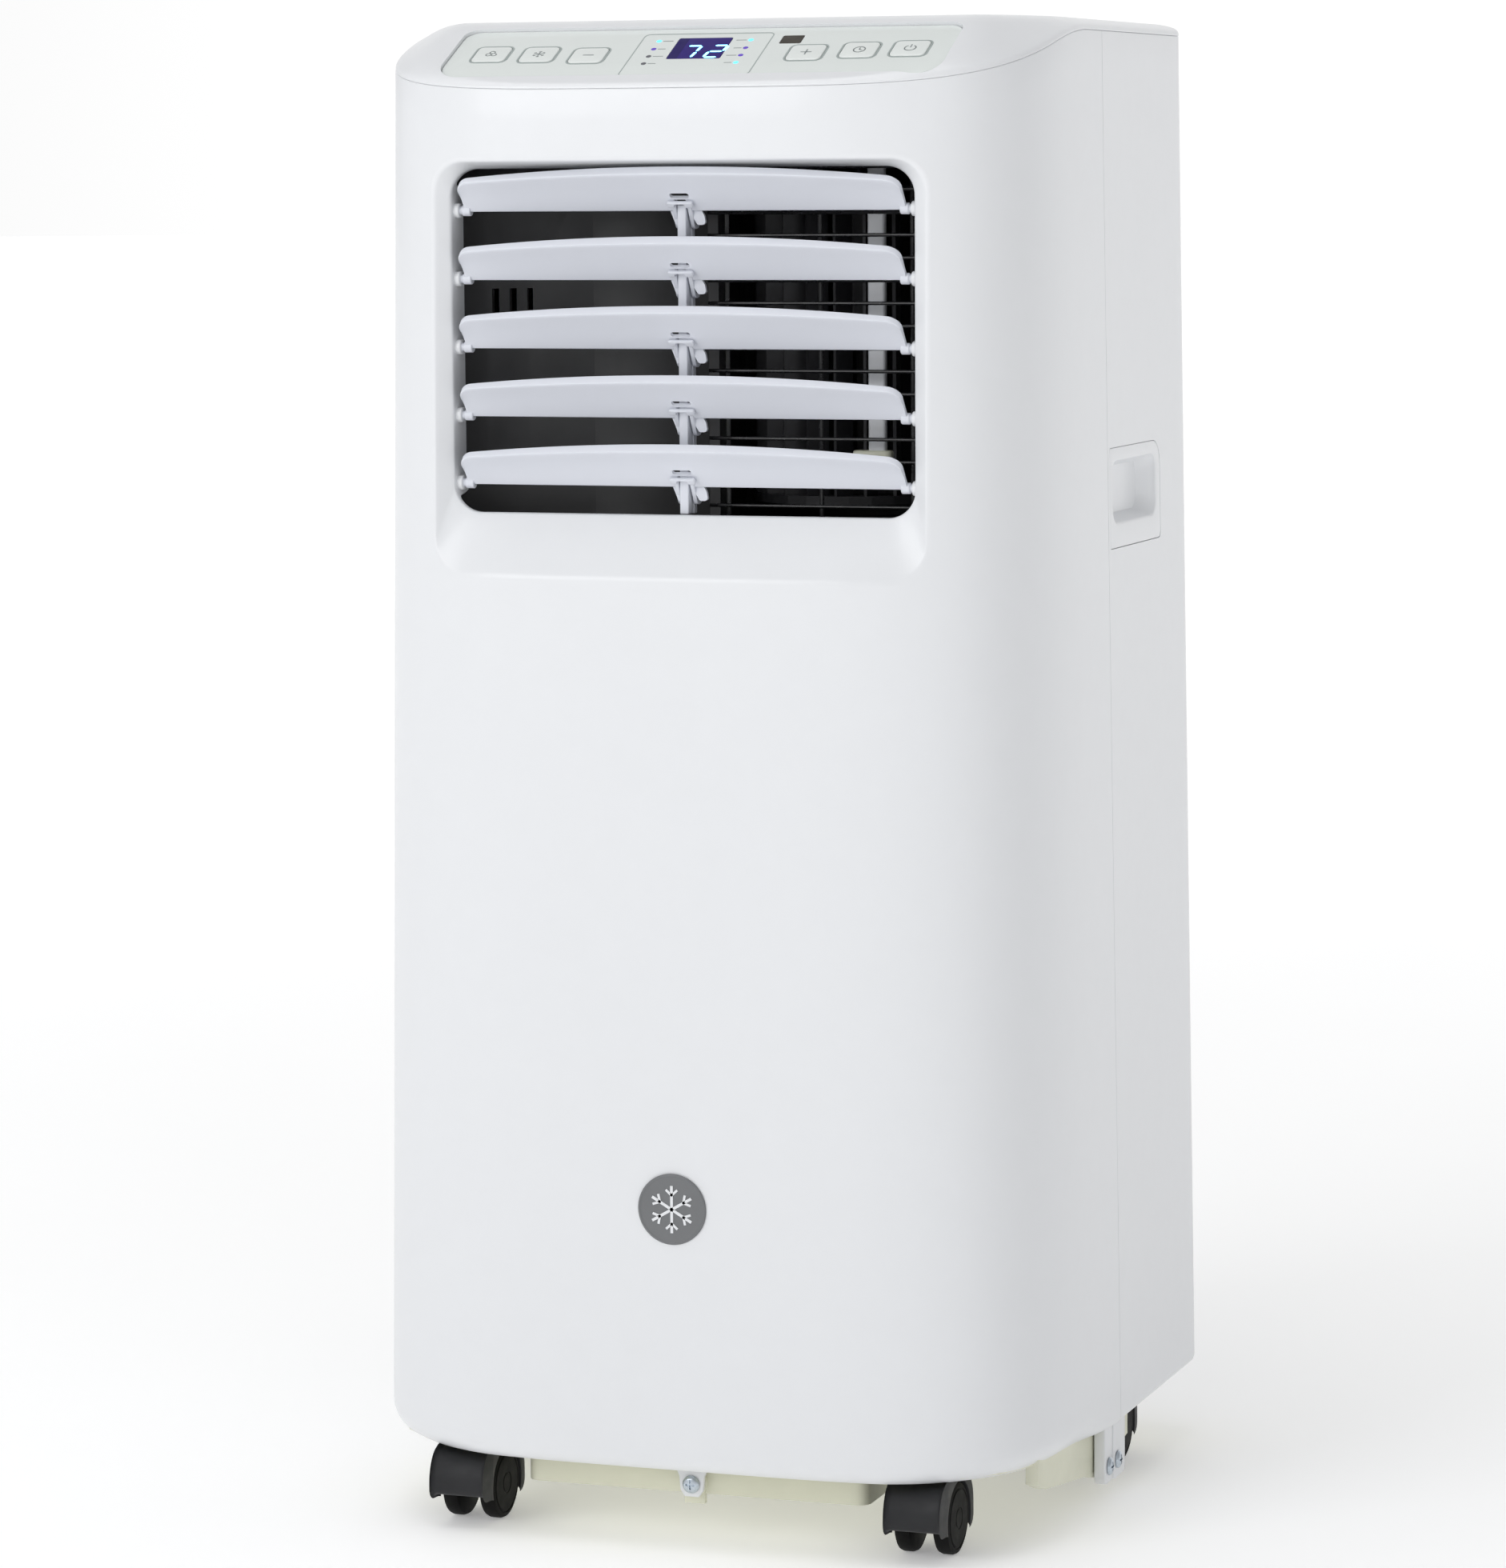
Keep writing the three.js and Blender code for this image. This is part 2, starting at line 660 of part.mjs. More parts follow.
// ---------------------------------------------------------------- casters
function casterHood() {
  const profile = polygon([
    [-29, 16],
    [-28.4, 25],
    [-25, 33],
    [-18, hoodTop],
    [7, hoodTop],
    [15, 32],
    [19.6, 25],
    [20.2, 12],
    [6, 10],
    [-6, 10],
    [-18, 15],
  ]);
  const hood = slab(profile, 'x', -hoodHalfWidth, hoodHalfWidth);
  const wellRadius = wheelRadius + 0.6;
  const web = 4.4;
  const wells = [
    roundBar('x', wellRadius, web, 20, 0, wheelCentreZ, wheelSides),
    roundBar('x', wellRadius, -20, -web, 0, wheelCentreZ, wheelSides),
  ];
  const axle = roundBar('x', axleRadius, -hoodHalfWidth + 2.5, hoodHalfWidth - 2.5, 0, wheelCentreZ, 12);
  const stem = roundBar('z', stemRadius, hoodTop - 1, panPlateTop + 8, 0, -casterTrail, 12);
  const swept = roundBar('z', swivelRadius, 0, hoodTop + 1, 0, -casterTrail, 40);
  return union([cut(hood.intersect(swept), wells), axle, stem]);
}

function casterWheel(side) {
  const inner = hoodHalfWidth - wheelWidth;
  const ends = [side * inner, side * hoodHalfWidth].sort((a, b) => a - b);
  const boreEnds = [side * (inner - 1), side * (hoodHalfWidth - 1.6)].sort((a, b) => a - b);
  const disc = roundBar('x', wheelRadius, ends[0], ends[1], 0, 0, wheelSides);
  return disc.subtract(roundBar('x', axleRadius + 0.25, boreEnds[0], boreEnds[1], 0, 0, 12));
}

casterPlaces.forEach((place) => {
  const caster = new THREE.Group();
  caster.position.set(place.x, place.axleY, 0);
  unit.add(caster);
  node(`${place.name}_hood`, 'hood', casterHood(), caster);
  const left = node(`${place.name}_wheel_left`, 'wheel', casterWheel(-1), caster);
  const right = node(`${place.name}_wheel_right`, 'wheel', casterWheel(1), caster);
  // half a facet's turn puts a flat of the wheel on the floor
  [left, right].forEach((wheel) => {
    wheel.position.z = wheelCentreZ;
    wheel.rotation.x = Math.PI / wheelSides;
  });
});

// ---------------------------------------------------------------- louvres
// Blade frame: y runs from the hinge to the free edge, z out of the blade's lower face.
const slotHalfWidth = 2.7;

function bladePlate() {
  const corner = 7;
  const steps = 10;
  const shape = new THREE.Shape();
  shape.moveTo(-bladeHalfLength + 2, -1.5);
  shape.lineTo(bladeHalfLength - 2, -1.5);
  shape.lineTo(bladeHalfLength, bladeEndChord - corner);
  shape.quadraticCurveTo(bladeHalfLength, bladeEndChord, bladeHalfLength - corner, bladeEndChord);
  for (let step = 1; step < steps; step += 1) {
    const x = (bladeHalfLength - corner) * (1 - (2 * step) / steps);
    const rise = bladeBow * (1 - (x / (bladeHalfLength - corner)) ** 2);
    shape.lineTo(x, bladeEndChord + rise);
  }
  shape.lineTo(-bladeHalfLength + corner, bladeEndChord);
  shape.quadraticCurveTo(-bladeHalfLength, bladeEndChord, -bladeHalfLength, bladeEndChord - corner);
  return slab(shape, 'z', -bladeThickness / 2, bladeThickness / 2, { curveSegments: 4 });
}

// The ears hang behind the hinge line and hold the link pin. Their profile is given upright in (y, z).
function bladeEar(side) {
  const profile = polygon([
    [-5.4, 4],
    [-1, -2],
    [3.2, -8],
    [8.6, -8],
    [8.6, -3],
    [1.6, 1.4],
    [-3.6, 5.6],
  ]);
  const ends = [side * slotHalfWidth, side * (slotHalfWidth + 1.9)].sort((a, b) => a - b);
  const ear = slabGeometry(profile, 'x', ends[0], ends[1]);
  ear.rotateX(-(Math.PI - bladeTilt));
  return solid(ear);
}

function pinHole() {
  const geometry = new THREE.CylinderGeometry(1.7, 1.7, 20, 10);
  geometry.rotateZ(-Math.PI / 2);
  geometry.translate(0, linkOffset.y, linkOffset.z);
  geometry.rotateX(-(Math.PI - bladeTilt));
  return solid(geometry);
}

const pinReach = 113.6;

function blade() {
  const slot = block(-slotHalfWidth, slotHalfWidth, -6, 7.2, -10, 10);
  const pins = [
    roundBar('x', 2, bladeHalfLength - 4, pinReach, 0, 0, 10),
    roundBar('x', 2, -pinReach, -bladeHalfLength + 4, 0, 0, 10),
  ];
  const body = cut(bladePlate(), [slot]);
  return union([body, bladeEar(1), bladeEar(-1), ...pins]).subtract(pinHole());
}

const bladeBody = blade();
bladeZ.forEach((z, index) => {
  const place = new THREE.Group();
  place.position.set(0, bladeHingeY, z);
  place.rotation.x = Math.PI - bladeTilt;
  unit.add(place);
  node(`louver_blade_${index + 1}`, 'blade', bladeBody, place);
});

const link = { halfWidth: 2, front: -133.6, rear: -122.6 };

function linkRod() {
  const lowest = bladeZ[bladeCount - 1] + linkOffset.z;
  const bar = block(-link.halfWidth, link.halfWidth, link.front, link.rear, lowest - 8, bladeTopZ + 2);
  const pins = bladeZ.map((z) =>
    roundBar('x', 1.2, -4.9, 4.9, bladeHingeY + linkOffset.y, z + linkOffset.z, 8),
  );
  return union([bar, ...pins]);
}

node('louver_link_rod', 'blade', linkRod());

// ---------------------------------------------------------------- outlet duct, guard and blower
const duct = { half: 112, wall: 2.2, front: -134.2, bottom: 466, top: 640.5, floor: 2.5 };

// The duct's walls in plan, from the front of the right side round the blower to the left side.
function ductCentreline() {
  const reach = blower.radius + 7;
  const points = [[duct.half, duct.front], [duct.half, blower.y]];
  const arcSteps = 9;
  for (let step = 0; step <= arcSteps; step += 1) {
    const angle = (Math.PI * step) / arcSteps;
    points.push([blower.x + reach * Math.cos(angle), blower.y + reach * Math.sin(angle)]);
  }
  points.push([2, -84], [-60, -90], [-90, -98], [-106, -112], [-duct.half, -124], [-duct.half, duct.front]);
  return points;
}

function ribbon(points, thickness) {
  const left = [];
  points.forEach((point, index) => {
    const before = points[Math.max(index - 1, 0)];
    const after = points[Math.min(index + 1, points.length - 1)];
    const along = new THREE.Vector2(after[0] - before[0], after[1] - before[1]).normalize();
    left.push([point[0] + along.y * thickness, point[1] - along.x * thickness]);
  });
  return polygon([...points, ...left.reverse()].reverse());
}

function airDuct() {
  const line = ductCentreline();
  const walls = slab(ribbon(line, duct.wall), 'z', duct.bottom, duct.top);
  const region = [...line, [duct.half, duct.front]];
  const outline = polygon(region.slice(0, -1));
  const floor = slab(outline, 'z', duct.bottom, duct.bottom + duct.floor);
  const ceiling = slab(outline, 'z', duct.top - duct.floor, duct.top);
  const inlet = roundBar('z', 34, duct.bottom - 5, duct.bottom + 8, blower.x, blower.y, 24);
  const shaftHole = roundBar('z', 4.5, duct.top - 8, duct.top + 5, blower.x, blower.y, 12);
  const pinHoles = bladeZ.flatMap((z) => [
    roundBar('x', 2.6, duct.half - 2, duct.half + 6, bladeHingeY, z, 10),
    roundBar('x', 2.6, -duct.half - 6, -duct.half + 2, bladeHingeY, z, 10),
  ]);
  const slots = [0, 1, 2].map((index) => {
    const x = -103 + index * 6.5;
    return block(x, x + 2.6, -125, -80, 566, 580);
  });
  const post = block(-2.5, 2.5, -92, -82, duct.bottom, duct.top);
  return cut(union([walls, floor, ceiling, post]), [inlet, shaftHole, ...pinHoles, ...slots]);
}

node('air_duct', 'duct', airDuct());

const guard = { left: 5, right: 108, bottom: 470, top: 636, front: -113, rear: -111.2, wire: 1.8 };

function wireGuard() {
  const { left, right, bottom, top, front, rear, wire } = guard;
  const uprights = [12.9, 57.7, 101.6];
  const rows = 16;
  const pitch = (top - bottom - wire) / rows;
  const bars = uprights.map((x) => block(x, x + wire, front, rear, bottom, top));
  for (let row = 0; row <= rows; row += 1) {
    const z = bottom + row * pitch;
    bars.push(block(left, right, front, rear, z, z + wire));
  }
  return union(bars);
}

node('wire_guard', 'wire', wireGuard());

function sensorPost() {
  const stalk = block(78, 86, -103, -98, 506, 637);
  const foot = block(70, 90, -104, -96, 503, 507);
  return stalk.add(foot);
}

node('sensor_post', 'white', sensorPost());

function vanedWheel(settings) {
  const { radius, from, to, hub, vanes, vaneInner, ring } = settings;
  const disc = roundBar('z', radius, from, from + 2.5, 0, 0, 30);
  const crownDisc = roundBar('z', radius, to - 4, to, 0, 0, 30);
  const crown = crownDisc.subtract(roundBar('z', ring, to - 5, to + 1, 0, 0, 24));
  const core = roundBar('z', hub, from, (from + to) / 2, 0, 0, 12);
  const blades = Array.from({ length: vanes }, (unused, index) => {
    const geometry = new THREE.BoxGeometry(radius - vaneInner - 1, 1.6, to - from - 3);
    geometry.rotateZ(0.6);
    geometry.translate((radius + vaneInner) / 2, 0, (from + to) / 2);
    geometry.rotateZ((index / vanes) * Math.PI * 2);
    return solid(geometry);
  });
  return union([disc, crown, core, ...blades]);
}

const blowerGroup = new THREE.Group();
blowerGroup.position.set(blower.x, blower.y, 0);
unit.add(blowerGroup);
const blowerWheel = vanedWheel({
  radius: blower.radius,
  from: -blower.top,
  to: -blower.bottom,
  hub: 8,
  vanes: 22,
  vaneInner: 38,
  ring: 38,
});
const blowerTurned = new THREE.Group();
blowerTurned.rotation.x = Math.PI;
blowerGroup.add(blowerTurned);
const shaftBore = roundBar('z', 3.3, -blower.top - 1, -blower.top + 40, 0, 0, 12);
node('blower_wheel', 'motor', blowerWheel.subtract(shaftBore), blowerTurned);

const blowerMotor = union([
  roundBar('z', 34, duct.top + 0.4, duct.top + 40, 0, 0, 24),
  roundBar('z', 3, blower.top - 30, duct.top + 2, 0, 0, 12),
]);
node('blower_motor', 'motor', blowerMotor, blowerGroup);

// ---------------------------------------------------------------- refrigeration
function finnedCoil(x0, x1, y0, y1, z0, z1) {
  const core = block(x0, x1, y0, y1, z0, z1);
  const bends = [];
  for (let z = z0 + 20; z < z1 - 24; z += 64) {
    bends.push(roundBar('z', 4, z, z + 16, x1 + 3, (y0 + y1) / 2, 8));
    bends.push(block(x1 - 1, x1 + 3, (y0 + y1) / 2 - 3, (y0 + y1) / 2 + 3, z + 1, z + 6));
    bends.push(block(x1 - 1, x1 + 3, (y0 + y1) / 2 - 3, (y0 + y1) / 2 + 3, z + 10, z + 15));
  }
  return union([core, ...bends]);
}

node('evaporator_coil', 'fins', finnedCoil(-128, 120, 106, 134, 446, 664));
node('condenser_coil', 'fins', finnedCoil(-128, 120, 106, 138, 66, 278));

function partitionTray() {
  const inside = cabinetBlock(shellWall + 1.6, 300, 0, coarse);
  const slabOf = (z0, z1) => block(-everything, everything, -everything, everything, z0, z1);
  const plate = inside.intersect(slabOf(420, 424));
  const rim = inside.subtract(cabinetBlock(shellWall + 4.4, 290, 0, coarse)).intersect(slabOf(420, 436));
  const pipeHoles = [
    roundBar('z', 9, 410, 440, -112, 70, 14),
    roundBar('z', 9, 410, 440, -88, 70, 14),
  ];
  return cut(plate.add(rim), pipeHoles);
}

node('partition_tray', 'beige', partitionTray());

const compressor = { x: -78, y: -50, radius: 58, bottom: 52, top: 290 };

function compressorCan() {
  const { radius, bottom, top } = compressor;
  const profile = [
    [0, bottom],
    [radius * 0.7, bottom + 2],
    [radius * 0.96, bottom + 16],
    [radius, bottom + 34],
    [radius, top - 40],
    [radius * 0.9, top - 14],
    [radius * 0.55, top - 2],
    [0, top],
  ];
  const can = turned(profile, compressor.x, compressor.y, 28);
  const feet = [0, 1, 2].map((index) => {
    const angle = (index * Math.PI * 2) / 3 + 0.5;
    const x = compressor.x + 52 * Math.cos(angle);
    const y = compressor.y + 52 * Math.sin(angle);
    return roundBar('z', 12, 46, bottom + 26, x, y, 12);
  });
  return union([can, ...feet]);
}

node('compressor', 'rubber', compressorCan());

const dischargePath = [
  [compressor.x, compressor.y, compressor.top + 0.6],
  [compressor.x, compressor.y, 330],
  [-100, 10, 350],
  [-112, 60, 310],
  [-112, 94, 262],
  [-112, 105, 260],
];
node('discharge_pipe', 'copper', tube(dischargePath, 4, 18, 6));

const suctionPath = [
  [compressor.x + 30, compressor.y + 20, compressor.top - 0.8],
  [compressor.x + 30, compressor.y + 20, compressor.top + 14],
  [compressor.x + 30, compressor.y + 30, 340],
  [-60, 40, 380],
  [-88, 70, 400],
  [-88, 70, 440],
  [-88, 92, 478],
  [-88, 105, 480],
];
node('suction_pipe', 'copper', tube(suctionPath, 4.5, 20, 6));

const fanGroup = new THREE.Group();
fanGroup.position.set(condenserFan.x, 0, condenserFan.z);
fanGroup.rotation.x = -Math.PI / 2;
unit.add(fanGroup);
const condenserWheel = vanedWheel({
  radius: condenserFan.radius,
  from: condenserFan.front,
  to: condenserFan.rear,
  hub: 12,
  vanes: 18,
  vaneInner: 66,
  ring: 66,
});
const fanBore = roundBar('z', 4.3, condenserFan.front - 1, condenserFan.front + 25, 0, 0, 12);
node('condenser_fan_wheel', 'motor', condenserWheel.subtract(fanBore), fanGroup);
const condenserMotor = union([
  roundBar('z', 38, -60, condenserFan.front - 3, 0, 0, 24),
  roundBar('z', 4, condenserFan.front - 4, condenserFan.front + 20, 0, 0, 12),
]);
node('condenser_fan_motor', 'motor', condenserMotor, fanGroup);

// ---------------------------------------------------------------- rear fittings
const rearFace = { inner: 153, outer: 159.4 };

function intakeGrille(grille, rows) {
  const edge = 0.5;
  const left = -grilleHalfWidth + edge;
  const right = grilleHalfWidth - edge;
  const low = grille.bottom + edge;
  const high = grille.top - edge;
  const slots = [];
  const border = 9;
  const rib = 4.2;
  const pitch = (high - low - 2 * border + rib) / rows;
  const columns = 2;
  const columnWidth = (right - left - 2 * border - rib * (columns - 1)) / columns;
  for (let row = 0; row < rows; row += 1) {
    const z = low + border + row * pitch;
    for (let column = 0; column < columns; column += 1) {
      const x = left + border + column * (columnWidth + rib);
      slots.push(block(x, x + columnWidth, rearFace.inner - 1, rearFace.outer + 1, z, z + pitch - rib));
    }
  }
  return cut(block(left, right, rearFace.inner, rearFace.outer, low, high), slots);
}

node('upper_intake_grille', 'white', intakeGrille(upperGrille, 17));
node('lower_intake_grille', 'white', intakeGrille(lowerGrille, 16));

function filterFrame() {
  const cells = 4;
  const rib = 4;
  const width = (224 - (cells + 1) * rib) / cells;
  const windows = [];
  for (let column = 0; column < cells; column += 1) {
    const x = -112 + rib + column * (width + rib);
    windows.push(block(x, x + width, 140, 160, 451, 545));
    windows.push(block(x, x + width, 140, 160, 549, 644));
  }
  const frame = cut(block(-112, 112, 148, 152, 447, 648), windows);
  const mesh = block(-111, 111, 149.4, 150.4, 448, 647);
  return frame.add(mesh);
}

node('upper_filter', 'duct', filterFrame());

function exhaustCollar() {
  const sleeve = roundBar('y', exhaust.outer, 128, deepest, 0, 0, 40);
  const bore = roundBar('y', exhaust.inner, 120, 170, 0, 0, 40);
  const ribs = [
    block(-exhaust.inner - 2, exhaust.inner + 2, 132, 135, -1.5, 1.5),
    block(-1.5, 1.5, 132, 135, -exhaust.inner - 2, exhaust.inner + 2),
  ];
  const notchedFlange = roundBar('y', exhaust.outer + 6, 150, 153.6, 0, 0, 40);
  return union([cut(sleeve.add(notchedFlange), [bore]), ...ribs]);
}

const exhaustGroup = new THREE.Group();
exhaustGroup.position.set(exhaust.x, 0, exhaust.z);
unit.add(exhaustGroup);
node('exhaust_collar', 'white', exhaustCollar(), exhaustGroup);

function drainPlug() {
  const cap = roundBar('y', drain.radius, 153, 158.6, 0, 0, 20);
  const stopper = roundBar('y', 6, 142, 153.5, 0, 0, 14);
  const pull = block(-2, 2, 158, deepest, -6, 6);
  return union([cap, stopper, pull]);
}

const drainGroup = new THREE.Group();
drainGroup.position.set(drain.x, 0, drain.z);
unit.add(drainGroup);
node('drain_plug', 'rubber', drainPlug(), drainGroup);

function cordGland() {
  const barrel = roundBar('y', gland.radius, 148, 159.4, 0, 0, 20);
  const flange = roundBar('y', gland.radius + 3, 148, 153.6, 0, 0, 20);
  return barrel.add(flange).subtract(roundBar('y', 3.8, 140, 170, 0, 0, 12));
}

const glandGroup = new THREE.Group();
glandGroup.position.set(gland.x, 0, gland.z);
unit.add(glandGroup);
node('cord_gland', 'rubber', cordGland(), glandGroup);

function cordHook() {
  const { x, z } = hookPost;
  const plate = block(x - 9, x + 9, rearDepth + gap, rearDepth + 1.2, z - 14, z + 14);
  const lip = block(x - 7, x + 7, rearDepth + 1, deepest, z + 8, z + 12);
  return plate.add(lip);
}

node('cord_hook', 'white', cordHook());

export default unit;
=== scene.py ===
import itertools
import json
import math

import bpy
import bmesh
import numpy as np
from mathutils import Matrix, Vector


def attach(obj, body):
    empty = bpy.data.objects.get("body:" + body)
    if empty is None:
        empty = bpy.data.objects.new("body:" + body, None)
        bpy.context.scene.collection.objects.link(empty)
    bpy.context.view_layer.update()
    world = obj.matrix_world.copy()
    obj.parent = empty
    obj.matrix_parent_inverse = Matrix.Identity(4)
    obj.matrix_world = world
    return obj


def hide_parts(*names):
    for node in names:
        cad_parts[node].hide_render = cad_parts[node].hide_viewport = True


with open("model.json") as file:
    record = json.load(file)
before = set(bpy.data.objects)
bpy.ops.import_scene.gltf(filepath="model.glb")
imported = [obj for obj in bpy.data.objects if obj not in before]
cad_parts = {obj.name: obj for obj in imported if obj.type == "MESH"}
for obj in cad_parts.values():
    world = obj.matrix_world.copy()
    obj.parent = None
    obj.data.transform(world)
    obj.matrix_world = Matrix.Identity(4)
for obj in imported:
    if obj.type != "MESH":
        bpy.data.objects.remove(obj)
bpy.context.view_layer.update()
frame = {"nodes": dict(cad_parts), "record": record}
record_slots = {part["node"]: part["material_slot"] for part in frame["record"]["subparts"]}

# Every length below is in millimetres; meshes are scaled to metres when they are made.
MM = 0.001
HEIGHT = 703.0
BASE_HALF_WIDTH = 169.5
TOP_HALF_WIDTH = 159.5
BASE_DEPTH = 160.6
TOP_DEPTH = 150.3
REAR = 157.0
EXPONENT = 4.4
WALL = 2.6
SHELL_BOTTOM = 37.2
DECK_Y = -150.0
DECK_Z = 673.0
DECK_SLOPE = 0.5
SHOULDER_Z = 699.0
COVER_Z = 690.0
DECK_TILT = math.atan(DECK_SLOPE)
PANEL_X = 3.0
SIDES = ((-1, "left"), (1, "right"))
SCREW_X, SCREW_Z = 165.2, 17.5
BOX_FACES = [(0, 1, 3, 2), (4, 6, 7, 5), (0, 4, 5, 1), (2, 3, 7, 6), (0, 2, 6, 4), (1, 5, 7, 3)]

KEY_POWER = 35
FILL_POWER = 3.5
TOP_POWER = 18
SURROUND = (0.445, 0.447, 0.45)
BACKDROP = (1.03, 1.03, 1.03)
COAT_ROUGHNESS = 0.08
GRAIN_DEPTH = 0.0006
COARSE_SPECKLE = 100.0
GLOW_REACH = 6.0


# ---------- camera, light, stage
def make_camera():
    data = bpy.data.cameras.new("camera")
    data.sensor_width = 36.0
    data.sensor_fit = "AUTO"
    data.lens = 123.65
    data.clip_end = 50.0
    yaw, pitch, roll = map(math.radians, (19.434, 6.590, -0.444))
    level = math.cos(pitch)
    forward = Vector((-math.sin(yaw) * level, math.cos(yaw) * level, -math.sin(pitch)))
    turn = forward.to_track_quat("-Z", "Y").to_matrix() @ Matrix.Rotation(roll, 3, "Z")
    camera = bpy.data.objects.new("camera", data)
    camera.matrix_world = Matrix.Translation((0.844561, -2.436421, 0.637514)) @ turn.to_4x4()
    bpy.context.scene.collection.objects.link(camera)
    bpy.context.scene.camera = camera


def area_light(name, place, target, size, power, colour=(1.0, 1.0, 1.0)):
    data = bpy.data.lights.new(name, "AREA")
    data.shape = "RECTANGLE"
    data.size, data.size_y = size
    data.energy = power
    data.color = colour
    light = bpy.data.objects.new(name, data)
    light.location = place
    light.visible_camera = False
    aim = Vector(target) - Vector(place)
    light.rotation_euler = aim.to_track_quat("-Z", "Y").to_euler()
    bpy.context.scene.collection.objects.link(light)


def make_studio():
    """A key from the front left, a weak fill on the right and a light above, in a pale surround
    that is lightest behind the object."""
    cool = (0.985, 0.992, 1.0)
    area_light("key_light", (-1.65, -3.2, 1.75), (0, 0, 0.42), (1.9, 1.9), KEY_POWER, cool)
    area_light("side_fill", (1.9, -2.4, 1.5), (0.1, 0, 0.45), (1.4, 1.4), FILL_POWER)
    area_light("top_light", (-0.3, -0.5, 2.9), (0, 0, 0.5), (2.0, 2.0), TOP_POWER)
    world = bpy.data.worlds.new("studio")
    world.use_nodes = True
    tree = world.node_tree
    background = tree.nodes["Background"]
    place = tree.nodes.new("ShaderNodeTexCoord").outputs["Generated"]
    split = tree.nodes.new("ShaderNodeSeparateXYZ")
    tree.links.new(place, split.inputs["Vector"])
    tone = ramp(tree, split.outputs["Y"], [(0.62, SURROUND), (0.92, BACKDROP)])
    tree.links.new(tone, background.inputs["Color"])
    background.inputs["Strength"].default_value = 1.0
    bpy.context.scene.world = world
    bpy.context.scene.view_settings.view_transform = "Standard"


# ---------- materials
def new_material(name):
    """A material with its node tree, its shader and the place in object space that textures read."""
    material = bpy.data.materials.new(name)
    material.use_nodes = True
    tree = material.node_tree
    place = add_node(tree, "ShaderNodeTexCoord").outputs["Object"]
    return material, tree, tree.nodes["Principled BSDF"], place


def add_node(tree, kind, **values):
    made = tree.nodes.new(kind)
    for key, value in values.items():
        if key in made.inputs.keys():
            made.inputs[key].default_value = value
        else:
            setattr(made, key, value)
    return made


def ramp(tree, source, stops):
    made = tree.nodes.new("ShaderNodeValToRGB")
    elements = made.color_ramp.elements
    while len(elements) < len(stops):
        elements.new(0.5)
    for element, (position, colour) in zip(elements, stops):
        element.position = position
        element.color = (*colour, 1.0)
    tree.links.new(source, made.inputs["Fac"])
    return made.outputs["Color"]


def grey(value):
    return (value, value, value)


def scaled(colour, factor):
    return tuple(min(1.0, channel * factor) for channel in colour)


def noise(tree, place, scale, detail, **values):
    made = add_node(tree, "ShaderNodeTexNoise", Scale=scale, Detail=detail, **values)
    tree.links.new(place, made.inputs["Vector"])
    return made.outputs["Fac"]


def bump(tree, shader, height, strength, depth):
    made = add_node(tree, "ShaderNodeBump", Strength=strength, Distance=depth)
    tree.links.new(height, made.inputs["Height"])
    tree.links.new(made.outputs["Normal"], shader.inputs["Normal"])


def set_inputs(shader, values):
    for key, value in values.items():
        shader.inputs[key].default_value = value


def moulded(name, colour, roughness, grain=0.02, spread=0.02, scale=60.0, coat=0.0, speckle=1500.0,
            metallic=0.0, edge_wear=0.0, roughness_spread=0.05, specular=0.5):
    """A moulded or cast surface: cloudy colour, mottled gloss and a fine grain, all in object space."""
    material, tree, shader, place = new_material(name)
    cloud = noise(tree, place, scale, 4.0, Roughness=0.55)
    tone = ramp(tree, cloud, [(0.25, scaled(colour, 1.0 - spread)), (0.75, scaled(colour, 1.0 + spread))])
    if edge_wear:
        shape = add_node(tree, "ShaderNodeNewGeometry").outputs["Pointiness"]
        worn = ramp(tree, shape, [(0.50, grey(0.0)), (0.58, grey(edge_wear))])
        mixed = add_node(tree, "ShaderNodeMix", data_type="RGBA")
        tree.links.new(worn, mixed.inputs["Factor"])
        tree.links.new(tone, mixed.inputs["A"])
        mixed.inputs["B"].default_value = (*scaled(colour, 1.6), 1.0)
        tone = mixed.outputs["Result"]
    tree.links.new(tone, shader.inputs["Base Color"])
    low, high = max(roughness - roughness_spread, 0.02), min(roughness + roughness_spread, 1.0)
    gloss = ramp(tree, noise(tree, place, scale * 3.0, 3.0), [(0.3, grey(low)), (0.7, grey(high))])
    tree.links.new(gloss, shader.inputs["Roughness"])
    fine = noise(tree, place, speckle, 0.0 if speckle < COARSE_SPECKLE else 2.0)
    bump(tree, shader, fine, grain, GRAIN_DEPTH)
    set_inputs(shader, {"Metallic": metallic, "Coat Weight": coat, "Coat Roughness": COAT_ROUGHNESS,
                        "Specular IOR Level": specular})
    return material


def brushed(name, colour, roughness, stretch=(1.0, 1.0, 40.0)):
    """Turned or rolled metal with fine streaks."""
    material, tree, shader, place = new_material(name)
    mapping = add_node(tree, "ShaderNodeMapping")
    mapping.inputs["Scale"].default_value = stretch
    tree.links.new(place, mapping.inputs["Vector"])
    streak = noise(tree, mapping.outputs["Vector"], 220.0, 5.0)
    tone = ramp(tree, streak, [(0.3, scaled(colour, 0.82)), (0.7, scaled(colour, 1.12))])
    tree.links.new(tone, shader.inputs["Base Color"])
    gloss = ramp(tree, streak, [(0.3, grey(roughness + 0.12)), (0.7, grey(roughness))])
    tree.links.new(gloss, shader.inputs["Roughness"])
    bump(tree, shader, streak, 0.08, 0.0004)
    set_inputs(shader, {"Metallic": 1.0})
    return material


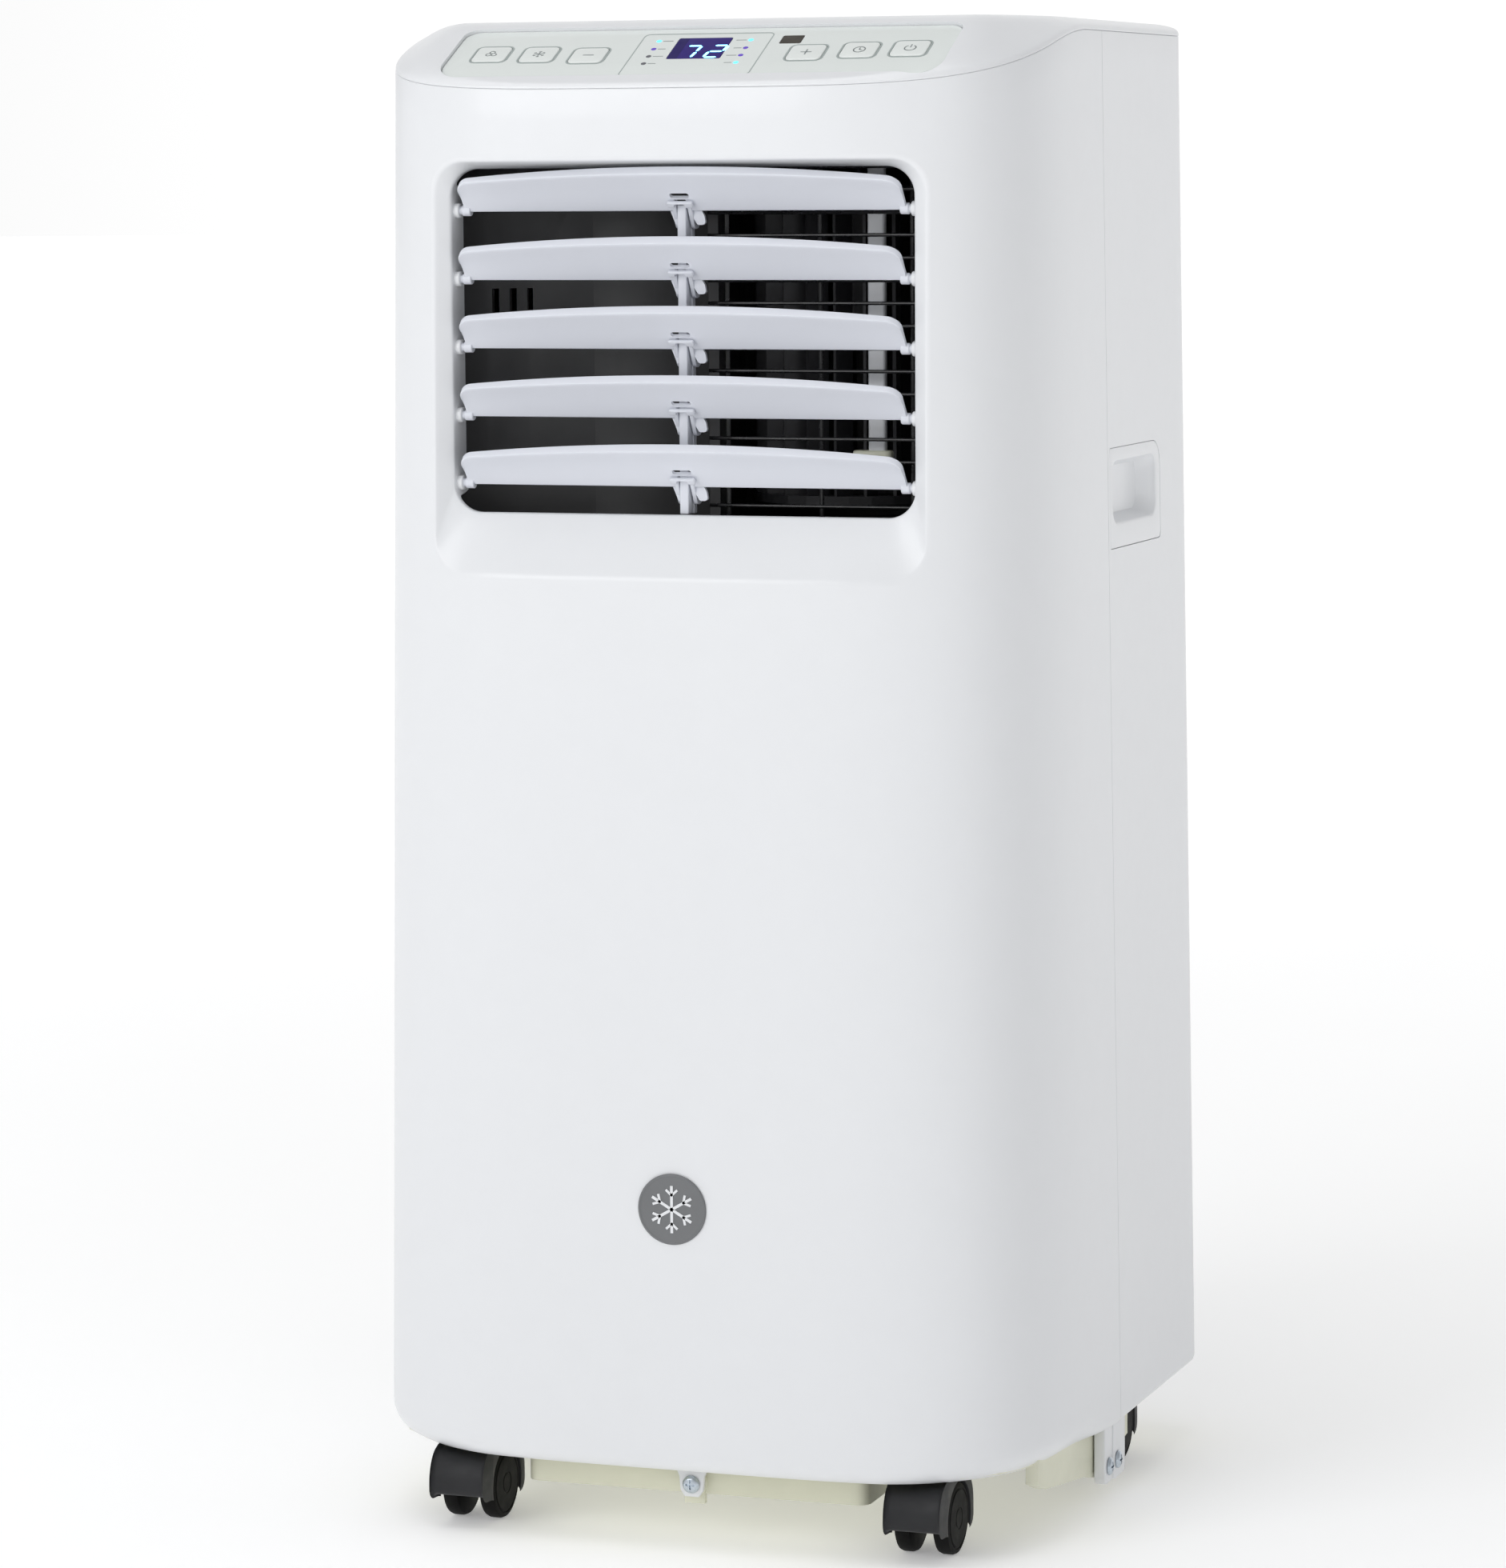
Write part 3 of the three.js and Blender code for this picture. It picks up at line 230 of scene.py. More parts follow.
def finned(name, colour, pitch_per_metre):
    """Thin upright aluminium fins drawn as fine bands across X, with painted shade in the darker bands
    between the fins.
    """
    material, tree, shader, place = new_material(name)
    bands = add_node(tree, "ShaderNodeTexWave", wave_type="BANDS", bands_direction="X",
                     Scale=pitch_per_metre)
    tree.links.new(place, bands.inputs["Vector"])
    # painted shade: the gaps between the fins are drawn at a quarter of the fin colour
    tone = ramp(tree, bands.outputs["Fac"], [(0.35, scaled(colour, 0.25)), (0.65, colour)])
    tree.links.new(tone, shader.inputs["Base Color"])
    bump(tree, shader, bands.outputs["Fac"], 0.6, 0.0008)
    set_inputs(shader, {"Metallic": 0.8, "Roughness": 0.42})
    return material


def lit(name, colour, strength):
    """A small light source behind a tinted face, with a faint mottle in its brightness."""
    material, tree, shader, place = new_material(name)
    tone = ramp(tree, noise(tree, place, 400.0, 2.0), [(0.3, scaled(colour, 0.85)), (0.7, colour)])
    tree.links.new(tone, shader.inputs["Base Color"])
    tree.links.new(tone, shader.inputs["Emission Color"])
    set_inputs(shader, {"Emission Strength": strength, "Roughness": 0.25})
    return material


LOOKS = {
    "white_plastic": (moulded, (0.80, 0.812, 0.832), 0.33,
        dict(grain=0.035, spread=0.006, coat=0.15, speckle=42.0, roughness_spread=0.03)),
    # painted shade: the blades and louvre parts are drawn darker than the body's white plastic, for the shade
    # on their downward faces
    "blade_plastic": (moulded, (0.725, 0.745, 0.805), 0.36,
        dict(grain=0.03, spread=0.010, speckle=60.0, scale=12.0)),
    "panel_film": (moulded, (0.79, 0.83, 0.81), 0.16,
        dict(grain=0.02, spread=0.005, coat=0.3, speckle=50.0)),
    "key_film": (moulded, (0.81, 0.845, 0.825), 0.18,
        dict(grain=0.02, spread=0.005, coat=0.2, speckle=50.0)),
    "display_lens": (moulded, (0.028, 0.014, 0.17), 0.58,
        dict(grain=0.0, spread=0.08, speckle=50.0, specular=0.2)),
    "smoked_lens": (moulded, (0.05, 0.043, 0.034), 0.48,
        dict(grain=0.0, spread=0.1, speckle=50.0, specular=0.3)),
    "badge_grey": (moulded, (0.175, 0.18, 0.186), 0.42, dict(grain=0.05, spread=0.04, specular=0.35)),
    "beige_plastic": (moulded, (0.745, 0.745, 0.60), 0.42, dict(grain=0.05, spread=0.03)),
    "hood_plastic": (moulded, (0.017, 0.0175, 0.0195), 0.50,
        dict(grain=0.05, spread=0.12, edge_wear=0.3, specular=0.32)),
    "wheel_rubber": (moulded, (0.0025, 0.0025, 0.0022), 0.62,
        dict(grain=0.04, spread=0.15, edge_wear=0.15, specular=0.16)),
    "guard_wire": (moulded, (0.010, 0.010, 0.011), 0.28, dict(grain=0.03, spread=0.2)),
    "duct_plastic": (moulded, (0.044, 0.044, 0.045), 0.42, dict(grain=0.06, spread=0.10, scale=25.0)),
    "fan_plastic": (moulded, (0.03, 0.03, 0.033), 0.4, dict(grain=0.05, spread=0.10)),
    "motor_steel": (moulded, (0.10, 0.10, 0.11), 0.4, dict(grain=0.08, spread=0.12, metallic=0.7)),
    "coil_aluminium": (finned, (0.72, 0.73, 0.75), 230.0, {}),
    "compressor_paint": (moulded, (0.014, 0.014, 0.015), 0.3, dict(grain=0.08, spread=0.2)),
    "board_green": (moulded, (0.02, 0.11, 0.045), 0.5, dict(grain=0.06, spread=0.2, scale=220.0)),
    "copper": (brushed, (0.72, 0.36, 0.20), 0.28, {}),
    "black_rubber": (moulded, (0.014, 0.014, 0.015), 0.6, dict(grain=0.10, spread=0.15)),
    "zinc_steel": (brushed, (0.56, 0.62, 0.68), 0.26, dict(stretch=(8.0, 8.0, 8.0))),
}
MATERIALS = {name: maker(name, colour, value, **details)
             for name, (maker, colour, value, details) in LOOKS.items()}
PRINT_GREY = moulded("print_grey", (0.24, 0.27, 0.27), 0.4, grain=0.0, spread=0.05)
LINE_GREY = moulded("line_grey", (0.36, 0.41, 0.40), 0.4, grain=0.0, spread=0.05)
LCD_DARK = moulded("display_unlit", (0.018, 0.010, 0.11), 0.62, grain=0.0, spread=0.1, specular=0.2)
LED_CYAN = lit("led_cyan", (0.10, 0.60, 0.80), 1.6)
LED_VIOLET = lit("led_violet", (0.10, 0.05, 0.42), 0.5)
LED_OFF = moulded("led_off", (0.12, 0.12, 0.14), 0.2, grain=0.0, spread=0.1)
DIGIT_CYAN = lit("digit_cyan", (0.22, 0.72, 1.0), 3.4)


# ---------- mesh tools
def raw(name, vertices, faces, clean=True):
    """A bare mesh object of points in millimetres."""
    mesh = bpy.data.meshes.new(name)
    mesh.from_pydata([tuple(float(c) * MM for c in v) for v in vertices], [], faces)
    made = bpy.data.objects.new(name, mesh)
    bpy.context.scene.collection.objects.link(made)
    if clean:
        work = bmesh.new()
        work.from_mesh(mesh)
        bmesh.ops.remove_doubles(work, verts=work.verts, dist=1e-7)
        bmesh.ops.recalc_face_normals(work, faces=work.faces)
        work.to_mesh(mesh)
        work.free()
    return made


def piece(name, vertices, faces, slot, body="cabinet", **look):
    return finish_piece(raw(name, vertices, faces), slot, body, **look)


def finish_piece(made, slot, body="cabinet", material=None, angle=35.0, smooth=True):
    """Gives a mesh its look and its body; the look is the slot's material unless one is named."""
    made.data.materials.clear()
    made.data.materials.append(material or MATERIALS[slot])
    for polygon in made.data.polygons:
        polygon.use_smooth = smooth
    if smooth:
        made.data.set_sharp_from_angle(angle=math.radians(angle))
    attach(made, body)
    return made


def settle(made):
    """Applies the modifiers of a piece to its mesh."""
    bpy.context.view_layer.update()
    graph = bpy.context.evaluated_depsgraph_get()
    result = bpy.data.meshes.new_from_object(made.evaluated_get(graph))
    before = made.data
    made.modifiers.clear()
    made.data = result
    bpy.data.meshes.remove(before)


def boolean(target, shapes):
    """Cuts shapes, each given as vertices and faces, out of a mesh."""
    for shape in shapes:
        tool = raw("tool", *shape)
        step = target.modifiers.new("cut", "BOOLEAN")
        step.object = tool
        step.operation = "DIFFERENCE"
        step.solver = "EXACT"
        settle(target)
        bpy.data.objects.remove(tool)
    return target


def bevel(made, width, segments=2, angle=30.0):
    step = made.modifiers.new("bevel", "BEVEL")
    step.width = width * MM
    step.segments = segments
    step.limit_method = "ANGLE"
    step.angle_limit = math.radians(angle)
    step.harden_normals = False
    step.use_clamp_overlap = True
    settle(made)
    return made


def rounded_loop(u0, u1, v0, v1, radii, steps=6):
    """A rounded rectangle, counter-clockwise from its lower left; one radius, or four in that order."""
    radii = radii if isinstance(radii, tuple) else (radii,) * 4
    corners = [(u0, v0, 180.0), (u1, v0, 270.0), (u1, v1, 0.0), (u0, v1, 90.0)]
    points = []
    for (u, v, start), radius in zip(corners, radii):
        cu = u + radius if u == u0 else u - radius
        cv = v + radius if v == v0 else v - radius
        for step in range(steps + 1):
            angle = math.radians(start + 90.0 * step / steps)
            points.append((cu + radius * math.cos(angle), cv + radius * math.sin(angle)))
    return points


def circle_loop(u, v, radius, count=48):
    angles = [2 * math.pi * k / count for k in range(count)]
    return [(u + radius * math.cos(a), v + radius * math.sin(a)) for a in angles]


def polar(radius, degrees):
    return radius * math.cos(math.radians(degrees)), radius * math.sin(math.radians(degrees))


def lay(loop, axis, depth):
    """Places a flat loop: along x it lies in (y, z), along y in (x, z), along z in (x, y)."""
    if axis == "x":
        return [(depth, u, v) for u, v in loop]
    if axis == "y":
        return [(u, depth, v) for u, v in loop]
    return [(u, v, depth) for u, v in loop]


def loft(rings, cap_start=True, cap_end=True):
    """Joins rings of equally many points into one skin."""
    count = len(rings[0])
    vertices = [point for ring in rings for point in ring]
    faces = []
    for row in range(len(rings) - 1):
        low, high = row * count, (row + 1) * count
        for k in range(count):
            nxt = (k + 1) % count
            faces.append((low + k, low + nxt, high + nxt, high + k))
    if cap_start:
        faces.append(tuple(reversed(range(count))))
    if cap_end:
        faces.append(tuple((len(rings) - 1) * count + k for k in range(count)))
    return vertices, faces


def inset_loop(loop, distance):
    """Moves a counter-clockwise loop inward along its corner bisectors."""
    points = np.array(loop, float)
    before, after = np.roll(points, 1, 0), np.roll(points, -1, 0)
    first = points - before
    second = after - points
    first /= np.maximum(np.linalg.norm(first, axis=1, keepdims=True), 1e-9)
    second /= np.maximum(np.linalg.norm(second, axis=1, keepdims=True), 1e-9)
    normal = np.stack([-(first[:, 1] + second[:, 1]), first[:, 0] + second[:, 0]], 1)
    normal /= np.maximum(np.linalg.norm(normal, axis=1, keepdims=True), 1e-9)
    cosine = np.clip((normal * np.stack([-first[:, 1], first[:, 0]], 1)).sum(1, keepdims=True), 0.35, 1.0)
    return [tuple(p) for p in points + normal * distance / cosine]


def prism(loop, axis, low, high, edge=0.0, steps=3):
    """A prism of a flat loop with rounded rims; returns vertices and faces."""
    if edge == 0.0:
        return loft([lay(loop, axis, low), lay(loop, axis, high)])
    rings = []
    quarter = [math.pi / 2 * step / steps for step in range(steps + 1)]
    for limit, inward, angles in ((low, 1, quarter), (high, -1, quarter[::-1])):
        for angle in angles:
            rim = inset_loop(loop, edge * (1 - math.sin(angle)))
            rings.append(lay(rim, axis, limit + inward * edge * (1 - math.cos(angle))))
    return loft(rings)


def turned(profile, axis, centre, count=72):
    """A turned part from (radius, distance along the axis) points that start and end on the axis."""
    rings = []
    for radius, along in profile:
        loop = lay(circle_loop(0.0, 0.0, radius, count), axis, along)
        rings.append([tuple(c + p for c, p in zip(centre, point)) for point in loop])
    return loft(rings, cap_start=profile[0][0] > 0, cap_end=profile[-1][0] > 0)


def refine(node, width, body="cabinet", angle=25.0, shade_angle=35.0):
    """A copy of a CAD node with merged flat faces and rounded edges, which stands for the node."""
    mesh = frame["nodes"][node].data.copy()
    made = bpy.data.objects.new(node + "_look", mesh)
    bpy.context.scene.collection.objects.link(made)
    work = bmesh.new()
    work.from_mesh(mesh)
    bmesh.ops.remove_doubles(work, verts=work.verts, dist=2e-6)
    bmesh.ops.dissolve_limit(work, angle_limit=math.radians(1.0), verts=work.verts, edges=work.edges)
    work.to_mesh(mesh)
    work.free()
    if width:
        bevel(made, width, 2, angle)
    finish_piece(made, record_slots[node], body, angle=shade_angle)
    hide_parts(node)
    return made


# ---------- cabinet form
def half_width(z):
    return BASE_HALF_WIDTH + (TOP_HALF_WIDTH - BASE_HALF_WIDTH) * z / HEIGHT


def front_depth(z):
    return BASE_DEPTH + (TOP_DEPTH - BASE_DEPTH) * z / HEIGHT


def face_y(x, z):
    across = min(abs(x) / half_width(z), 1.0)
    return -front_depth(z) * (1.0 - across ** EXPONENT) ** (1.0 / EXPONENT)


def smooth_min(a, b, blend):
    share = np.clip(0.5 + 0.5 * (b - a) / blend, 0.0, 1.0)
    return b + (a - b) * share - blend * share * (1.0 - share)


def border_z(y):
    """Height of the top cover's edge along the sides; it falls towards the front."""
    return float(smooth_min(SHOULDER_Z, DECK_Z + 0.25 * (y - DECK_Y), 6.0))


def cover_z(x, y):
    deck = DECK_Z + DECK_SLOPE * (y - DECK_Y)
    top = smooth_min(HEIGHT, deck, 5.0)
    reach = half_width(COVER_Z)
    if y < 0:
        reach *= max(1.0 - min(-y / front_depth(COVER_Z), 1.0) ** EXPONENT, 0.0) ** (1.0 / EXPONENT)
    top = smooth_min(top, border_z(y) + 0.52 * max(reach - abs(x), 0.0), 4.0)
    return float(min(smooth_min(top, SHOULDER_Z + 0.5 * (REAR - y), 4.0), HEIGHT))


def resample(points, spacing):
    points = np.array(points, float)
    steps = np.linalg.norm(np.diff(points, axis=0), axis=1)
    along = np.concatenate([[0.0], np.cumsum(steps)])
    count = int(round(along[-1] / spacing)) + 1
    wanted = np.linspace(0.0, along[-1], count)
    return np.stack([np.interp(wanted, along, points[:, 0]), np.interp(wanted, along, points[:, 1])], 1)


def front_line(spacing=3.0):
    """The front half of the plan outline at the floor, from the right side round the front to the left."""
    angle = np.linspace(0.0, math.pi, 8001)
    x = BASE_HALF_WIDTH * np.sign(np.cos(angle)) * np.abs(np.cos(angle)) ** (2.0 / EXPONENT)
    y = -BASE_DEPTH * np.abs(np.sin(angle)) ** (2.0 / EXPONENT)
    line = resample(np.stack([x, y], 1), spacing)
    line[0, 1] = line[-1, 1] = -0.2
    return line


def rear_line(spacing=4.0, corner=22.0):
    points = [(-BASE_HALF_WIDTH, 0.2), (-BASE_HALF_WIDTH, REAR - corner)]
    for side, start in ((-1, 180.0), (1, 90.0)):
        for step in range(1, 25):
            angle = math.radians(start - 90.0 * step / 24)
            points.append((side * (BASE_HALF_WIDTH - corner) + corner * math.cos(angle),
                           REAR - corner + corner * math.sin(angle)))
        if side < 0:
            points.append((BASE_HALF_WIDTH - corner, REAR))
    points.append((BASE_HALF_WIDTH, 0.2))
    return resample(points, spacing)


def outward(line):
    run = np.gradient(line, axis=0)
    run /= np.linalg.norm(run, axis=1, keepdims=True)
    return np.stack([-run[:, 1], run[:, 0]], 1)


def drafted(x, y, z):
    x = x * half_width(z) / BASE_HALF_WIDTH
    if y < 0:
        y = y * front_depth(z) / BASE_DEPTH
    return (x, y, z)


def ease(value, start, end):
    share = min(max((value - start) / (end - start), 0.0), 1.0)
    return share * share * (3.0 - 2.0 * share)


def lip_radius(x, y):
    """The rounding of the shell's lower edge: widest at the front corners, small along the sides and rear."""
    if y >= 0:
        return 4.0
    corner = ease(abs(x), 95.0, 150.0) * ease(-y, 8.0, 70.0)
    front = ease(-y, 5.0, 60.0)
    return 4.0 + 5.0 * front + 7.0 * corner


def shell_section(x, y, normal):
    """The closed wall section at one outline point: from the outer lip up and back down inside."""
    radius = lip_radius(x, y)
    top = border_z(y * front_depth(COVER_Z) / BASE_DEPTH if y < 0 else y) - 2.08

    def lip(step, size, foot):
        angle = math.radians(12.0 + 78.0 * step / 6)
        return size * (1 - math.sin(angle)), foot + size * (1 - math.cos(angle))

    rows = [lip(step, radius, SHELL_BOTTOM) for step in range(7)]
    start = SHELL_BOTTOM + radius
    for step in range(1, 50):
        rows.append((0.0, start + (top - 0.6 - start) * step / 49))
    rows += [(0.12, top - 0.22), (0.45, top), (WALL - 0.3, top), (WALL, top - 0.3)]
    for step in range(1, 13):
        rows.append((WALL, top - 0.3 + (start - top) * step / 12))
    for step in (5, 3, 1):
        inset, z = lip(step, max(radius - WALL, 0.6), SHELL_BOTTOM + WALL * 0.8)
        rows.append((WALL + inset, z))
    return [drafted(x - normal[0] * inset, y - normal[1] * inset, z) for inset, z in rows]


def shell_skin(name, line):
    normals = outward(line)
    normals[0] = normals[-1] = (0.0, 0.0)
    normals[0][0], normals[-1][0] = math.copysign(1, line[0, 0]), math.copysign(1, line[-1, 0])
    rings = [shell_section(x, y, normal) for (x, y), normal in zip(line, normals)]
    return raw(name, *loft(rings))


OUTLET = {"half": 111.4, "low": 478.0, "high": 635.2, "corner": 13.0, "plane": -137.0}
RECESS = {"half": 118.7, "low": 450.0, "high": 638.8}


def recess_loop(grow):
    radii = (16.0 + grow, 16.0 + grow, 15.0 + grow, 15.0 + grow)
    return rounded_loop(-RECESS["half"] - grow, RECESS["half"] + grow,
                        RECESS["low"] - grow, RECESS["high"] + grow, radii, steps=14)


def spaced(guide, loop, spacing):
    """Points along a loop, on each run as many as the same run of the guide needs at the spacing."""
    points = []
    for k in range(len(guide)):
        after = (k + 1) % len(guide)
        run = math.hypot(guide[after][0] - guide[k][0], guide[after][1] - guide[k][1])
        parts = max(1, int(run / spacing))
        (u0, v0), (u1, v1) = loop[k], loop[after]
        points += [(u0 + (u1 - u0) * (step / parts), v0 + (v1 - v0) * (step / parts))
                   for step in range(parts)]
    return points


def make_outlet_surround():
    """The sloping walls between the cabinet's face and the louvre opening."""
    grow = 1.8
    plain = recess_loop(0.0)
    hole = rounded_loop(-OUTLET["half"], OUTLET["half"], OUTLET["low"], OUTLET["high"], OUTLET["corner"],
                        steps=14)
    rim, inner, wide = (spaced(plain, loop, 6.0) for loop in (plain, hole, recess_loop(grow)))
    rows = []
    for (ru, rv), (wu, wv), (iu, iv) in zip(rim, wide, inner):
        edge = Vector((ru, face_y(ru, rv), rv))
        start = Vector((wu, face_y(wu, wv) + 0.02, wv))
        goal = Vector((iu, OUTLET["plane"], iv))
        slope = (goal - edge).normalized()
        first, last = edge + slope * grow, goal - slope * 1.4
        down = goal + Vector((0, 1.4, 0))
        column = [bezier(start, edge, first, k / 5) for k in range(6)]
        column += [first.lerp(last, k / 7) for k in range(1, 7)]
        column += [bezier(last, goal, down, k / 5) for k in range(6)]
        back = OUTLET["plane"] + 2.5 + 15.0 * ease(abs(iu), OUTLET["half"] - 1.5, OUTLET["half"] - 0.2)
        beyond = Vector((iu + math.copysign(0.7, iu), back, iv + (0.7 if iv > 550 else -0.7)))
        column += [Vector((iu, back, iv)), beyond]
        rows.append([tuple(point) for point in column])
    rings = [[row[k] for row in rows] for k in range(len(rows[0]))]
    piece("outlet_surround", *loft(rings, cap_start=False, cap_end=False), "white_plastic", angle=50.0)


def bezier(a, b, c, t):
    return a * (1 - t) ** 2 + b * 2 * t * (1 - t) + c * t * t


def make_front():
    skin = shell_skin("front_skin", front_line())
    boolean(skin, [prism(recess_loop(1.8), "y", -175.0, -95.0)])
    finish_piece(skin, "white_plastic", angle=40.0)
    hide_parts("front_shell")
    make_outlet_surround()
    right = [(3.4, 20.9), (5.6, 24.0), (6.2, 30.5), (8.4, 36.0), (11.0, 46.0)]
    tab = [(-u, v) for u, v in reversed(right)] + right
    piece("front_tab", *prism(tab, "y", -136.2, -133.7, edge=0.5), "white_plastic")
    shelf = prism(rounded_loop(-11.0, 11.0, 42.6, 46.0, 0.5), "y", -157.2, -134.0, edge=0.4)
    piece("front_tab_shelf", *shelf, "white_plastic")


HANDLE = {"front": 3.0, "rear": 93.0, "low": 455.0, "high": 502.6}


def handle_loop(grow):
    return rounded_loop(HANDLE["front"] - grow, HANDLE["rear"] + grow, HANDLE["low"] - grow,
                        HANDLE["high"] + grow, (2.0, 3.0, 12.0 + grow, 2.0), steps=8)


def make_rear():
    skin = shell_skin("rear_skin", rear_line())
    shapes = [prism(handle_loop(0.10), "x", low, high) for low, high in ((150.0, 190.0), (-190.0, -150.0))]
    holes = [rounded_loop(-118.0, 118.0, low, high, 2.0) for low, high in ((440.0, 655.0), (92.0, 275.0))]
    holes += [circle_loop(x, z, radius, 96)
              for x, z, radius in ((-50.0, 350.0, 61.3), (70.0, 66.0, 11.3), (95.0, 340.0, 9.3))]
    boolean(skin, shapes + [prism(hole, "y", 140.0, 175.0) for hole in holes])
    finish_piece(skin, "white_plastic", angle=40.0)
    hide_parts("rear_shell")


def make_lugs():
    """The ears below the seam on both sides, which the side screws go through."""
    for side, side_name in SIDES:
        for name, y0, y1, low in (("front", -14.0, -0.6, 9.4), ("rear", 0.9, 22.0, 8.6)):
            loop = rounded_loop(y0, y1, low, 58.0, (3.5, 3.5, 1.0, 1.0))
            plate = prism(loop, "x", *sorted((side * 159.4, side * 164.9)), edge=0.7)
            piece(f"lug_{name}_{side_name}", *plate, "white_plastic")


def make_handles():
    """The hand holes: from the rim over a flat border into a funnel with a closed floor."""
    edge = handle_loop(-0.08)
    mouth = rounded_loop(8.5, 84.0, 467.0, 496.0, (9.0, 9.0, 7.0, 7.0), steps=8)
    floor = rounded_loop(34.0, 60.0, 478.5, 486.0, 3.5, steps=8)
    rim, mouth, floor = (spaced(edge, loop, 5.0) for loop in (edge, mouth, floor))
    centre = [tuple(sum(p[k] for p in floor) / len(floor) for k in (0, 1))] * len(floor)
    border = ((0.0, 8.0), (0.0, 0.5), (0.03, 0.08), (0.08, 0.0), (0.5, 0.0), (0.88, 0.0), (0.96, 0.25),
              (1.0, 1.2))
    funnel = ((0.08, 2.6), (0.25, 6.6), (0.45, 11.2), (0.65, 15.6), (0.85, 19.8), (1.0, 22.4))
    stages = ((rim, mouth, border), (mouth, floor, funnel), (floor, centre, ((0.6, 23.2),)))
    for side, name in ((-1, "handle_left"), (1, "handle_right")):
        rings = []
        for start, goal, steps in stages:
            for share, depth in steps:
                loop = [(p[0] + (q[0] - p[0]) * share, p[1] + (q[1] - p[1]) * share)
                        for p, q in zip(start, goal)]
                rings.append([(side * (half_width(v) - depth), u, v) for u, v in loop])
        made = piece(name + "_grip", *loft(rings), "white_plastic", angle=50.0)
        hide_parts(name)


# ---------- top cover and controls
def on_deck(u, v, w):
    sine, cosine = math.sin(DECK_TILT), math.cos(DECK_TILT)
    return (PANEL_X + u, DECK_Y + v * cosine - w * sine, DECK_Z + v * sine + w * cosine)


def deck_prism(loop, low, high, edge=0.0):
    vertices, faces = prism(loop, "z", low, high, edge)
    return [on_deck(*vertex) for vertex in vertices], faces


def panel_loop(shrink):
    return rounded_loop(-121.0 + shrink, 121.0 - shrink, 9.0 + shrink, 59.5 - shrink,
                        (14.0, 14.0, 8.0, 8.0), steps=10)


def make_cover():
    whole = np.concatenate([front_line(2.5), rear_line(3.0)])
    whole = whole[np.concatenate([[True], np.linalg.norm(np.diff(whole, axis=0), axis=1) > 0.3])]
    run = np.roll(whole, -1, 0) - np.roll(whole, 1, 0)
    run /= np.linalg.norm(run, axis=1, keepdims=True)
    normals = np.stack([-run[:, 1], run[:, 0]], 1)

    def ring(inset, lift=None, share=1.0, drop=0.0):
        points = []
        for (bx, by), normal in zip(whole, normals):
            x, y, _ = drafted(bx - normal[0] * inset, by - normal[1] * inset, COVER_Z)
            x, y = x * share, y * share
            edge_y = drafted(bx, by, COVER_Z)[1]
            z = border_z(edge_y) + lift if lift is not None else cover_z(x, y) - drop
            points.append((x, y, z))
        return points

    shares = np.concatenate([np.linspace(0.0, 0.9, 46), np.linspace(0.91, 1.0, 12)])
    rings = [ring(12.0, share=s) for s in shares]
    rings += [ring(inset) for inset in (10.0, 8.0, 6.0, 4.5, 3.2, 2.2)]
    rings += [ring(inset, drop=drop) for inset, drop in ((1.3, 0.08), (0.7, 0.28), (0.28, 0.62))]
    seam = ((0.05, -0.95), (0.0, -1.3), (0.0, -1.8), (0.25, -2.0), (3.4, -2.0), (3.6, -5.5))
    rings += [ring(inset, lift=lift) for inset, lift in seam]
    rings += [ring(12.0, share=s, drop=8.0) for s in (0.98, 0.6, 0.0)]
    cover = raw("cover_skin", *loft(rings, cap_start=False, cap_end=False))
    wells = [deck_prism(key_loop(u, v, KEY_GAP), KEY_WELL, 2.0) for _, u, v in KEYS]
    boolean(cover, [deck_prism(panel_loop(0.0), -2.9, 14.0)] + wells)
    finish_piece(cover, "white_plastic", angle=24.0)
    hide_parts("top_cover")


KEYS = [("button_fan", -101.0, 34.9), ("button_mode", -77.3, 34.0), ("button_down", -52.5, 32.3),
        ("button_up", 52.5, 32.3), ("button_timer", 77.3, 34.0), ("button_power", 101.0, 34.9)]
PANEL_TOP = -1.5
KEY_WELL = -4.7
KEY_GAP = 0.35


def key_loop(u, v, grow):
    wide, tall = 8.25 + grow, 7.5 + grow
    return rounded_loop(u - wide, u + wide, v - tall, v + tall, 2.6 + grow, steps=8)


def stroke(points, width):
    """A flat band of even width along a line, as one closed loop per straight run."""
    loops = []
    for (u0, v0), (u1, v1) in zip(points, points[1:]):
        length = max(math.hypot(u1 - u0, v1 - v0), 1e-6)
        du, dv = (u1 - u0) / length, (v1 - v0) / length
        e = width / 2
        u0, v0, u1, v1 = u0 - du * e * 0.6, v0 - dv * e * 0.6, u1 + du * e * 0.6, v1 + dv * e * 0.6
        loops.append([(u0 + dv * e, v0 - du * e), (u1 + dv * e, v1 - du * e),
                      (u1 - dv * e, v1 + du * e), (u0 - dv * e, v0 + du * e)])
    return loops


def arc(u, v, radius, start, end, count=16):
    turns = [start + (end - start) * k / count for k in range(count + 1)]
    return [(u + du, v + dv) for du, dv in (polar(radius, turn) for turn in turns)]


